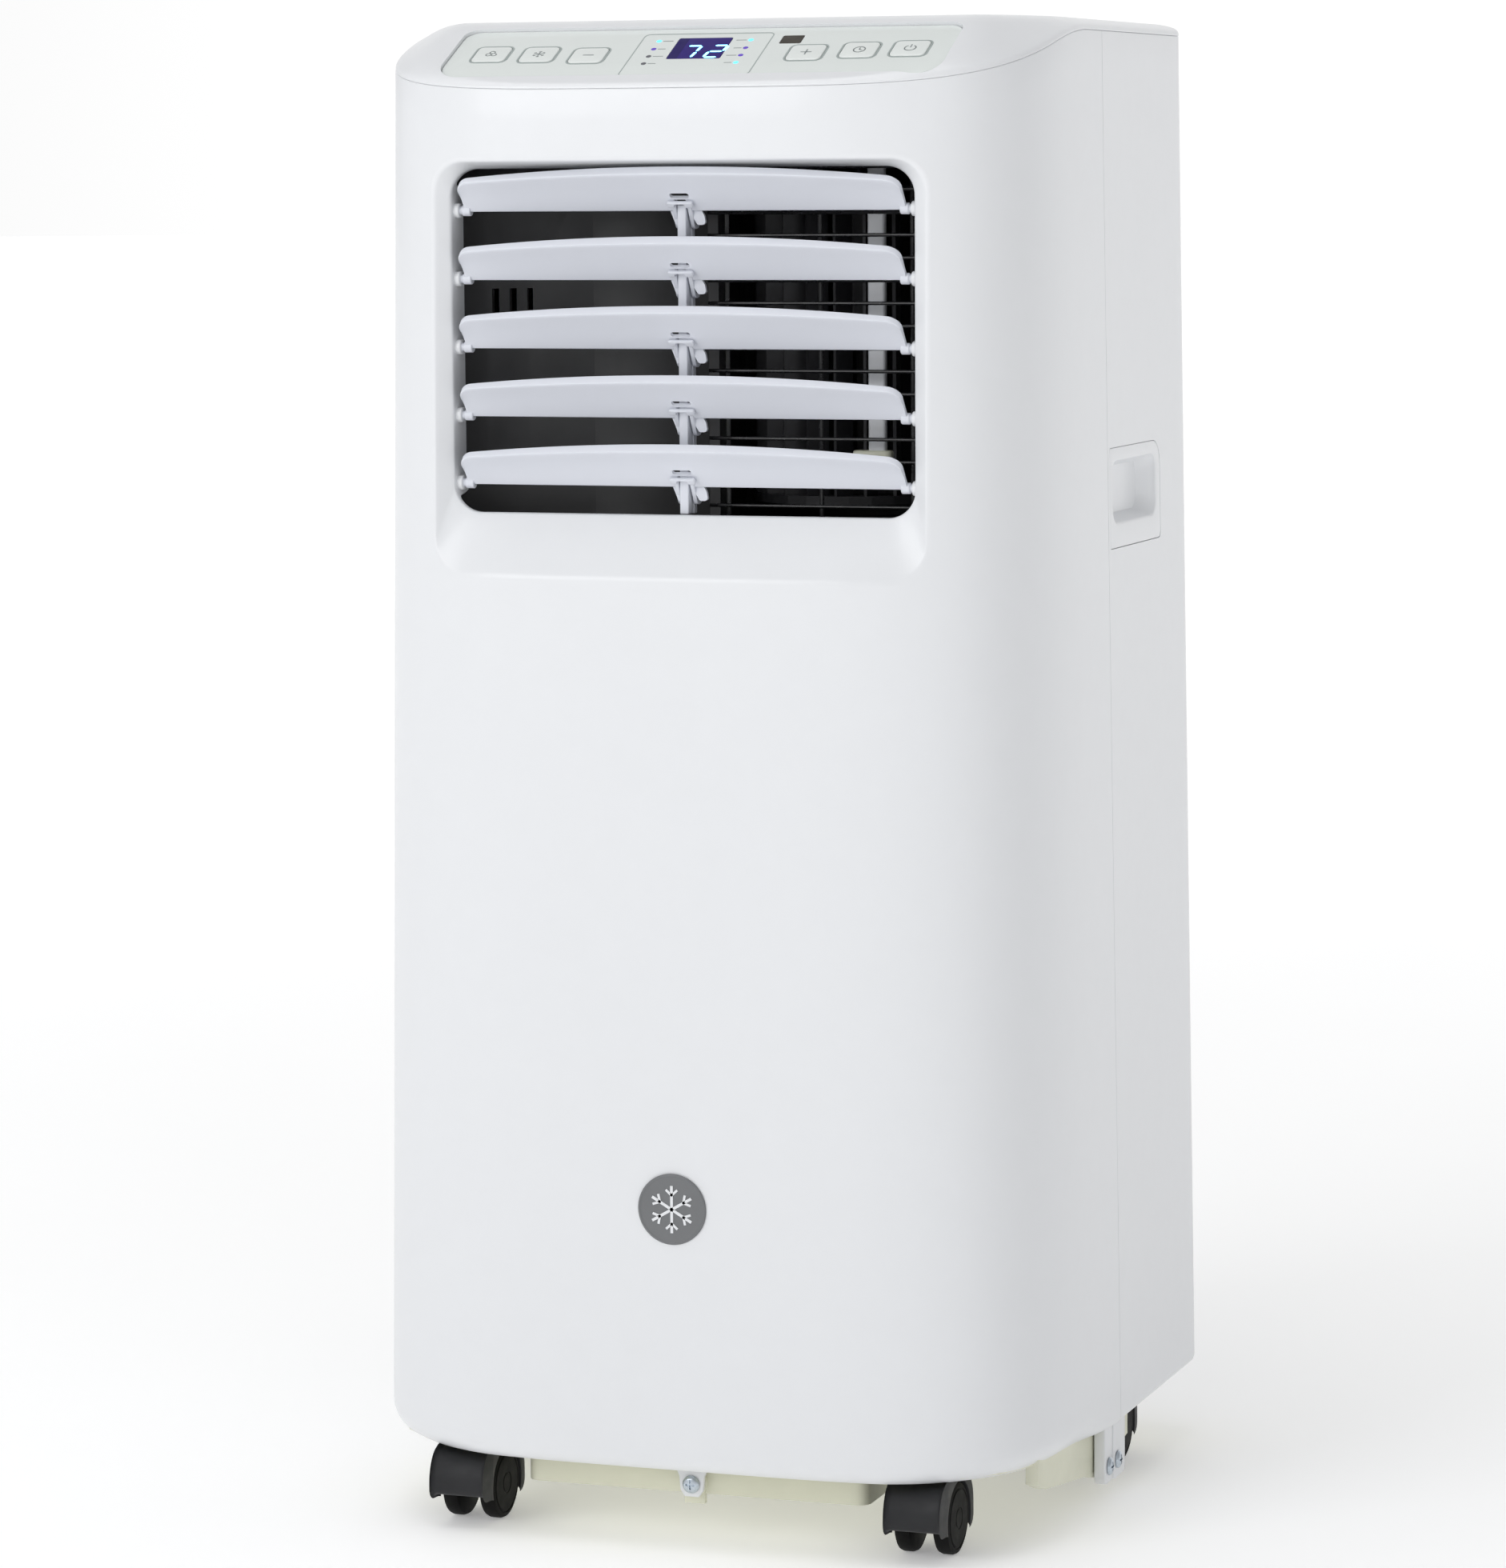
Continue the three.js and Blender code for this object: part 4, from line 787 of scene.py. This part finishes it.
def icon_loops(kind, u, v):
    line = 0.55
    if kind == "button_down":
        return stroke([(u - 2.4, v), (u + 2.4, v)], 0.7)
    if kind == "button_up":
        return stroke([(u - 2.4, v), (u + 2.4, v)], 0.7) + stroke([(u, v - 2.4), (u, v + 2.4)], 0.7)
    if kind == "button_timer":
        return (stroke(arc(u, v, 2.7, 0, 360, 28), line) + stroke([(u, v), (u, v + 1.7)], line)
                + stroke([(u, v), (u + 1.3, v - 0.7)], line))
    if kind == "button_power":
        return stroke(arc(u, v, 2.6, 125, 415, 24), line) + stroke([(u, v + 0.6), (u, v + 3.3)], line)
    if kind == "button_mode":
        return snowflake(u, v, 2.9, 0.45, 1.9, 0.95, 40, 0.38)
    loops = []
    for turn in (90, 210, 330):
        du, dv = polar(1.5, turn)
        loops += stroke(arc(u + du, v + dv, 1.25, turn - 150, turn + 130, 14), 0.45)
    return loops + stroke(arc(u, v, 0.35, 0, 360, 10), 0.4)


def merged(shapes):
    """Several shapes as one list of vertices and one of faces."""
    vertices, faces = [], []
    for more, sides in shapes:
        faces += [tuple(k + len(vertices) for k in side) for side in sides]
        vertices += more
    return vertices, faces


def snowflake(u, v, arm, width, fork, twig, spread, twig_width):
    """Three crossing bars with two twigs near each of their ends, as loops."""
    loops = []
    for turn in (30, 90, 150):
        du, dv = polar(arm, turn)
        loops += stroke([(u - du, v - dv), (u + du, v + dv)], width)
    for turn in range(30, 390, 60):
        du, dv = polar(fork, turn)
        for side in (-spread, spread):
            tu, tv = polar(twig, turn + side)
            loops += stroke([(u + du, v + dv), (u + du + tu, v + dv + tv)], twig_width)
    return loops


def deck_marks(name, loops, low, high, material, slot, body="cabinet"):
    marks = raw(name, *merged(deck_prism(loop, low, high) for loop in loops), clean=False)
    finish_piece(marks, slot, body, material, smooth=False)


def ring_band(loop, inner, low, high):
    """A flat frame between two matching loops on the deck."""
    corners = ((loop, low), (loop, high), (inner, high), (inner, low), (loop, low))
    vertices, faces = loft([lay(side, "z", w) for side, w in corners], cap_start=False, cap_end=False)
    return [on_deck(*vertex) for vertex in vertices], faces


def make_panel():
    plate = raw("panel_inlay", *deck_prism(panel_loop(0.3), -2.8, PANEL_TOP, edge=0.25))
    wells = [key_loop(u, v, KEY_GAP) for _, u, v in KEYS]
    wells += [rounded_loop(-13.6, 12.6, 27.8, 49.6, 1.0), rounded_loop(36.3, 46.7, 42.3, 50.7, 0.8)]
    boolean(plate, [deck_prism(well, -6.0, 4.0) for well in wells])
    finish_piece(plate, "panel_film", angle=30.0)
    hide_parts("control_panel")
    for name, u, v in KEYS:
        cap = piece(name + "_cap", *deck_prism(key_loop(u, v, 0.0), -3.5, -1.05, edge=0.5), "key_film", name)
        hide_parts(name)
        deck_marks(name + "_icon", icon_loops(name, u, v), -1.06, -0.99, PRINT_GREY, "key_film", name)
        band = ring_band(key_loop(u, v, 1.15), key_loop(u, v, KEY_GAP + 0.01), -1.55, -1.36)
        piece(name + "_frame", *band, "panel_film", material=LINE_GREY)
    make_display()


def make_display():
    glass = deck_prism(rounded_loop(-13.3, 12.3, 28.1, 49.3, 0.8), -2.7, -1.42, edge=0.15)
    lens = piece("display_glass", *glass, "display_lens")
    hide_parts("display_window")
    band = [rounded_loop(-13.0, -8.4, 28.5, 48.9, 0.5)]
    deck_marks("display_unlit_band", band, -1.43, -1.39, LCD_DARK, "display_lens")
    glass = deck_prism(rounded_loop(36.5, 46.5, 42.5, 50.5, 0.7), -2.7, -1.35, edge=0.2)
    window = piece("ir_glass", *glass, "smoked_lens")
    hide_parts("ir_window")
    outer = rounded_loop(-31.6, 31.5, 10.4, 54.3, 3.0)
    inner = rounded_loop(-31.05, 30.95, 11.2, 53.5, 2.4)
    piece("display_outline", *ring_band(outer, inner, -1.52, -1.44), "panel_film", material=LINE_GREY)
    digit_loops = digit(-8.6, 29.0, 6.6, 12.0, 1.35, "abc") + digit(4.1, 29.0, 6.6, 12.0, 1.35, "abged")
    deck_marks("display_digits", digit_loops, -1.40, -1.33, DIGIT_CYAN, "display_lens")
    left = (LED_CYAN, LED_VIOLET, LED_OFF, LED_OFF)
    right = (LED_CYAN, LED_VIOLET, LED_VIOLET, LED_CYAN)
    for side, u, away, colours in (("left", -22.7, 1, left), ("right", 21.7, -1, right)):
        for k, (v, material) in enumerate(zip((46.6, 38.4, 30.8, 23.3), colours)):
            name = f"led_{side}_{k + 1}"
            deck_marks(name, [circle_loop(u, v, 1.25, 20)], -1.55, -1.40, material, "display_lens")
            start = u + away * 2.2
            marks = stroke([(start, v), (start + away * (3.4 if k % 2 else 4.6), v)], 0.55)
            deck_marks(name + "_mark", marks, -1.55, -1.45, PRINT_GREY, "panel_film")


def digit(left, bottom, width, height, line, parts):
    """One seven-segment digit that leans to the right, as loops."""
    half = height / 2
    bars = {
        "a": (0.0, height, width, height), "g": (0.0, half, width, half), "d": (0.0, 0.0, width, 0.0),
        "b": (width, half, width, height), "c": (width, 0.0, width, half),
        "f": (0.0, half, 0.0, height), "e": (0.0, 0.0, 0.0, half),
    }
    loops = []
    for part in parts:
        u0, v0, u1, v1 = bars[part]
        length = math.hypot(u1 - u0, v1 - v0)
        du, dv = (u1 - u0) / length, (v1 - v0) / length
        e, gap = line / 2, 0.32
        far = length - gap
        shape = [(gap, 0.0), (gap + e, -e), (far - e, -e), (far, 0.0), (far - e, e), (gap + e, e)]
        loop = []
        for along, across in shape:
            u = u0 + du * along - dv * across
            v = v0 + dv * along + du * across
            loop.append((left + u + 0.17 * v, bottom + v))
        loops.append(loop)
    return loops


# ---------- louvres
BLADE_Z = [616.3 - 31.28 * k for k in range(5)]
HINGE_Y = -131.5
TILT = math.radians(45.0)
BLADE_HALF = 106.3
BLADE_CORNER = 6.0


def from_blade(x, c, w, z):
    """A point in the blade's own frame: c from the hinge to the free edge, w out of its lower face."""
    sine, cosine = math.sin(TILT), math.cos(TILT)
    return (x, HINGE_Y - c * cosine - w * sine, z + c * sine - w * cosine)


def blade_section(x):
    """Closed section of a blade at x: a hollowed lower face, a thick free edge and a thin hinge edge."""
    side = abs(x)
    far = 18.8 + 5.3 * (1.0 - (min(side, 104.0) / 104.0) ** 2)
    over = max(side - (BLADE_HALF - BLADE_CORNER), 0.0)
    far -= BLADE_CORNER - math.sqrt(max(BLADE_CORNER ** 2 - min(over, BLADE_CORNER) ** 2, 0.0))
    near = -0.4 + 1.4 * ease(side, BLADE_HALF - 2.4, BLADE_HALF)
    thick = 4.7 - 1.6 * (side / BLADE_HALF) ** 2
    length = far - near
    dip = 1.5 * min(length / 26.0, 1.0)
    edge = 0.45
    face = 1.1
    points = []
    for k in range(5):
        angle = math.radians(90.0 * (1.0 - k / 4))
        points.append((far - edge + edge * math.cos(angle), face - thick + edge - edge * math.sin(angle)))
    for k in range(5):
        angle = math.radians(90.0 * k / 4)
        points.append((far - edge + edge * math.cos(angle), face - edge + edge * math.sin(angle)))
    for k in range(1, 12):
        share = k / 12
        along = far - edge + (near + 0.9 - far + edge) * share
        points.append((along, face - dip * math.sin(math.pi * share)))
    points += [(near + 0.9, face), (near + 0.2, 0.7), (near, 0.0), (near + 0.2, -0.7), (near + 0.9, -1.1)]
    points.append((near + length * 0.55, face - dip - 1.9))
    return points


def tool_box(x0, x1, c0, c1, w0, w1, z):
    corners = itertools.product((x0, x1), (c0, c1), (w0, w1))
    return [from_blade(x, c, w, z) for x, c, w in corners], BOX_FACES


def blade_prism(loop_xc, w0, w1, z, edge=0.3):
    vertices, faces = prism(loop_xc, "z", w0, w1, edge)
    return [from_blade(x, c, w, z) for x, c, w in vertices], faces


GUSSETS = {
    "left": [(-7.2, 0.9), (-2.8, 0.9), (-2.8, -7.0), (-3.9, -7.0), (-5.4, -3.2)],
    "right": [(2.8, 0.9), (7.6, 0.9), (9.8, -2.6), (10.4, -6.0), (9.4, -7.0), (6.6, -7.0), (4.7, -4.0),
              (2.8, -2.6)],
}


def make_blade(index, z):
    name = f"louver_blade_{index + 1}"
    straight = BLADE_HALF - BLADE_CORNER
    inside = list(np.linspace(-straight, straight, 57))
    ends = [straight + BLADE_CORNER * math.sin(math.radians(90.0 * k / 12)) for k in range(1, 13)]
    stations = [-x for x in reversed(ends)] + inside + ends
    rings = [[from_blade(x, c, w, z) for c, w in blade_section(x)] for x in stations]
    blade = raw(name + "_vane", *loft(rings))
    notch = tool_box(-2.7, 2.7, -6.0, 6.4, -8.0, 8.0, z)
    window = blade_prism(rounded_loop(-4.4, 4.8, 7.2, 10.0, 1.1), -8.0, 8.0, z, edge=0.0)
    boolean(blade, [notch, window])
    finish_piece(blade, "blade_plastic", name, angle=40.0)
    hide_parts(name)
    clip = raw(name + "_clip", *blade_prism(rounded_loop(-5.8, 6.4, 3.4, 6.8, 0.9), 1.0, 2.7, z, edge=0.5))
    groove = rounded_loop(-2.7, 2.7, 0.0, 5.8, (0.3, 0.3, 1.0, 1.0))
    boolean(clip, [blade_prism(groove, -4.0, 6.0, z, edge=0.0)])
    finish_piece(clip, "blade_plastic", name)
    profile = [(-4.6, 4.4), (-0.6, -2.2), (2.6, -8.2), (5.0, -9.0), (8.4, -8.4), (9.0, -5.6),
               (8.2, -3.0), (3.4, 0.2), (-2.4, 6.6)]
    ear_loop = [(HINGE_Y + y, z + h) for y, h in round_corners(profile, 1.2)]
    bearing_loop = rounded_loop(HINGE_Y - 3.4, HINGE_Y + 3.6, z - 3.4, z + 3.4, (3.2, 1.0, 1.0, 3.2))
    pin = [(0.0, 0.0), (2.3, 0.0), (2.6, 0.3), (2.6, 3.8), (2.2, 4.2), (1.9, 4.3), (1.9, 7.6), (0.0, 7.6)]
    for side, side_name in SIDES:
        ear = prism(ear_loop, "x", *sorted((side * 2.75, side * 4.7)), edge=0.35)
        piece(f"{name}_ear_{side_name}", *ear, "blade_plastic", name)
        loop = round_corners([(u, z + v) for u, v in GUSSETS[side_name]], 0.7)
        gusset = prism(loop, "y", HINGE_Y + 0.6, HINGE_Y + 2.4)
        piece(f"{name}_gusset_{side_name}", *gusset, "blade_plastic", name)
        turns = [(radius, side * (103.6 + along)) for radius, along in pin]
        stub = turned(turns, "x", (0.0, HINGE_Y, z), 32)
        piece(f"{name}_pin_{side_name}", *stub, "blade_plastic", name)
        bearing = prism(bearing_loop, "x", *sorted((side * 109.0, side * 111.9)), edge=0.5)
        piece(f"bearing_{index + 1}_{side_name}", *bearing, "white_plastic")


def round_corners(points, radius, steps=4):
    """Rounds every corner of a closed outline."""
    out = []
    count = len(points)
    for k in range(count):
        before, here, after = (Vector(points[(k + d) % count]) for d in (-1, 0, 1))
        first = min(radius, (here - before).length * 0.45)
        second = min(radius, (after - here).length * 0.45)
        start = here + (before - here).normalized() * first
        end = here + (after - here).normalized() * second
        out += [tuple(bezier(start, here, end, step / steps)) for step in range(steps + 1)]
    return out


def make_link():
    low, high = BLADE_Z[-1] - 13.0, BLADE_Z[0] + 2.0
    loop = rounded_loop(-2.3, 1.9, -133.4, -126.5, (0.5, 0.5, 0.3, 0.3))
    bar = piece("link_bar", *prism(loop, "z", low, high, edge=0.4), "blade_plastic", "louver_link")
    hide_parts("louver_link_rod")
    loop = rounded_loop(-1.4, 2.3, -126.7, -122.8, 0.3)
    piece("link_flange", *prism(loop, "z", low, high, edge=0.3), "blade_plastic", "louver_link")
    profile = [(0.0, -5.6), (1.5, -5.6), (1.7, -5.3), (1.7, -4.9), (1.2, -4.8), (1.2, 4.8), (1.7, 4.9),
               (1.7, 5.5), (1.5, 5.8), (0.0, 5.8)]
    for k, z in enumerate(BLADE_Z):
        pin = turned(profile, "x", (0.0, HINGE_Y + 6.0, z - 5.0), 24)
        piece(f"link_pin_{k + 1}", *pin, "blade_plastic", "louver_link")


def wire(start, end, radius=0.85, sides=10):
    """A straight round bar between two points."""
    a, b = Vector(start), Vector(end)
    along = (b - a).normalized()
    side = along.orthogonal().normalized()
    other = along.cross(side)
    turns = [2 * math.pi * k / sides for k in range(sides)]
    return loft([[tuple(point + side * radius * math.cos(t) + other * radius * math.sin(t)) for t in turns]
                 for point in (a, b)])


def make_guard():
    wires = [wire((x + 0.9, -111.3, 469.0), (x + 0.9, -111.3, 637.4), 1.1) for x in (12.9, 57.7, 101.6)]
    for row in range(17):
        z = 470.9 + row * 10.26
        wires.append(wire((5.0, -112.6, z), (109.6, -112.6, z)))
    made = piece("guard_wires", *merged(wires), "guard_wire")
    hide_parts("wire_guard")
    loop = rounded_loop(78.0, 86.2, -102.8, -98.2, 1.4)
    stalk = piece("sensor_stalk", *prism(loop, "z", 506.0, 637.0), "white_plastic")
    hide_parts("sensor_post")
    loop = rounded_loop(70.5, 89.0, -104.0, -96.5, 2.6)
    piece("sensor_foot", *prism(loop, "z", 502.6, 506.4, edge=1.0), "beige_plastic")


# ---------- casters
CASTERS = {"caster_front_left": (-112.0, -121.0), "caster_front_right": (112.0, -121.0),
           "caster_rear_left": (-136.0, 78.0), "caster_rear_right": (136.0, 78.0)}
WHEEL_R = 16.85
TRAIL = 5.0


def make_caster(name, x, y):
    profile = [(-29.0, 15.6), (-28.6, 26.0), (-24.5, 33.6), (-17.0, 36.5), (7.0, 36.5), (15.0, 32.6),
               (19.9, 25.0), (20.2, 11.4), (5.0, 9.6), (-5.0, 9.6), (-18.0, 15.0)]
    loop = [(y + u, v) for u, v in round_corners(profile, 4.0, 5)]
    hood = raw(name + "_shell", *prism(loop, "x", x - 13.5, x + 13.5, edge=2.2, steps=4))
    well = circle_loop(y, WHEEL_R, 17.7, 72)
    boolean(hood, [prism(well, "x", *sorted((x + side * 4.3, x + side * 20.0))) for side in (-1, 1)])
    bevel(hood, 0.35, 2, 40.0)
    finish_piece(hood, "hood_plastic", name, angle=40.0)
    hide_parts(name + "_hood")
    stem = [(0.0, 36.0), (4.0, 36.0), (4.0, 51.5), (3.5, 52.0), (0.0, 52.0)]
    piece(name + "_stem", *turned(stem, "z", (x, y - TRAIL, 0.0), 32), "zinc_steel", name)
    tread = [(0.0, 5.2), (14.6, 5.2), (16.2, 5.9), (WHEEL_R, 7.4), (WHEEL_R, 11.4), (16.3, 12.7),
             (15.2, 13.2), (14.4, 13.3), (14.1, 12.9), (13.8, 12.9), (0.0, 12.9)]
    disc = [(0.0, 12.5), (13.5, 12.5), (13.5, 13.15), (13.1, 13.45), (5.4, 13.5), (5.0, 13.2),
            (4.6, 13.2), (4.2, 13.5), (0.0, 13.5)]
    for side, side_name in SIDES:
        rim, hub = (turned([(r, side * a) for r, a in shape], "x", (x, y, WHEEL_R))
                    for shape in (tread, disc))
        tyre = piece(f"{name}_tyre_{side_name}", *rim, "wheel_rubber", name + "_wheels")
        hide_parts(f"{name}_wheel_{side_name}")
        piece(f"{name}_hub_{side_name}", *hub, "wheel_rubber", name + "_wheels")


# ---------- screws, badge, rear fittings, pan
def make_screw(node, axis, centre, direction):
    """A pan-head screw with a cross recess: centre is in the seat, direction points out of the head."""
    profile = [(0.0, -9.0), (1.2, -9.0), (1.6, -8.0), (1.6, 0.0), (4.2, 0.0), (4.25, 0.35), (3.9, 1.0),
               (3.0, 1.5), (1.6, 1.75), (0.0, 1.8)]
    made = raw(node + "_turned", *turned([(r, direction * a) for r, a in profile], axis, centre, 40))
    unit = {"x": (1.0, 0.0, 0.0), "y": (0.0, 1.0, 0.0)}[axis]
    middle = [c + direction * 2.2 * s for c, s in zip(centre, unit)]
    recess = []
    for lengths in ([0.45, 2.3], [2.3, 0.45]):
        half = [1.5 if value else lengths.pop(0) for value in unit]
        corners = [[m + sign * h for m, h, sign in zip(middle, half, signs)]
                   for signs in itertools.product((-1, 1), repeat=3)]
        recess.append((corners, BOX_FACES))
    boolean(made, recess)
    finish_piece(made, "zinc_steel")
    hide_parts(node)


def make_badge():
    z = 161.0
    face = face_y(0.0, z)
    profile = [(0.0, -0.15), (16.5, -0.15), (16.5, -0.7), (16.2, -1.0), (15.6, -1.1), (15.2, -0.85),
               (14.9, -0.8), (0.0, -0.8)]
    disc = piece("badge_disc", *turned(profile, "y", (0.0, face, z), 120), "badge_grey")
    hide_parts("badge")
    loops = snowflake(0.0, z, 10.6, 1.3, 6.6, 3.4, 48, 1.1)
    shapes = [prism(loop, "y", face - 1.12, face - 0.7) for loop in loops]
    finish_piece(raw("badge_glyph", *merged(shapes), clean=False), "white_plastic", smooth=False)


def make_rear_fittings():
    x, z = -50.0, 350.0
    sleeve = [(54.0, 128.4), (54.0, 158.9), (54.6, 159.7), (55.4, 159.9), (59.6, 159.9), (60.6, 159.6),
              (61.0, 158.8), (61.0, 153.7), (66.6, 153.5), (66.6, 150.2), (61.0, 150.2), (61.0, 128.4),
              (54.0, 128.4)]
    vertices, faces = turned(sleeve, "y", (x, 0.0, z), 120)
    sides = [face for face in faces if len(face) == 4]
    collar = piece("exhaust_sleeve", vertices, sides, "white_plastic")
    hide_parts("exhaust_collar")
    for k, (u, v) in enumerate(((54.5, 1.4), (1.4, 54.5))):
        rib = prism(rounded_loop(x - u, x + u, z - v, z + v, 0.5), "y", 132.0, 135.2, edge=0.4)
        piece(f"exhaust_rib_{k + 1}", *rib, "white_plastic")
    refine("upper_intake_grille", 0.5, "upper_intake")
    refine("lower_intake_grille", 0.5)
    refine("cord_hook", 0.2)
    refine("cord_gland", 0.3)
    refine("drain_plug", 0.5, "drain")


def make_pan():
    refine("base_pan", 0.6, angle=40.0)
    refine("air_duct", 0.0, shade_angle=32.0)


# ---------- floor, then everything in order
def make_floor():
    """A pale floor with a painted glow that grows lighter with distance, dimmest near the object, so that it
    runs into the backdrop.
    """
    reach = 120.0
    mesh = bpy.data.meshes.new("floor")
    corners = [(-reach, -reach, 0), (reach, -reach, 0), (reach, reach, 0), (-reach, reach, 0)]
    mesh.from_pydata(corners, [], [(0, 1, 2, 3)])
    floor = bpy.data.objects.new("floor", mesh)
    floor.location.z = -0.0002
    bpy.context.scene.collection.objects.link(floor)
    material, tree, shader, place = new_material("floor_painted_glow")
    tone = ramp(tree, noise(tree, place, 3.0, 3.0), [(0.3, grey(0.90)), (0.7, grey(0.91))])
    tree.links.new(tone, shader.inputs["Base Color"])
    length = add_node(tree, "ShaderNodeVectorMath", operation="LENGTH")
    tree.links.new(place, length.inputs[0])
    shrink = add_node(tree, "ShaderNodeMath", operation="DIVIDE")
    shrink.inputs[1].default_value = GLOW_REACH
    tree.links.new(length.outputs["Value"], shrink.inputs[0])
    # painted light: the floor's glow is weakest near the object and strongest far off
    glow = ramp(tree, shrink.outputs["Value"], [(0.05, grey(0.26)), (0.4, grey(0.50)), (1.0, grey(0.62))])
    tree.links.new(glow, shader.inputs["Emission Color"])
    set_inputs(shader, {"Emission Strength": 1.0, "Roughness": 0.8})
    mesh.materials.append(material)


make_camera()
make_studio()
make_floor()
for name, node in frame["nodes"].items():
    node.data.materials.clear()
    node.data.materials.append(MATERIALS[record_slots[name]])
make_front()
make_rear()
make_lugs()
make_handles()
make_cover()
make_panel()
for index, z in enumerate(BLADE_Z):
    make_blade(index, z)
make_link()
make_guard()
for name, (x, y) in CASTERS.items():
    make_caster(name, x, y)
make_screw("front_screw", "y", (0.0, -136.5, 27.0), -1)
for side, side_name in SIDES:
    for place, y in (("front", -7.0), ("rear", 8.0)):
        make_screw(f"side_screw_{place}_{side_name}", "x", (side * SCREW_X, y, SCREW_Z), side)
make_badge()
make_rear_fittings()
make_pan()

bpy.context.view_layer.update()
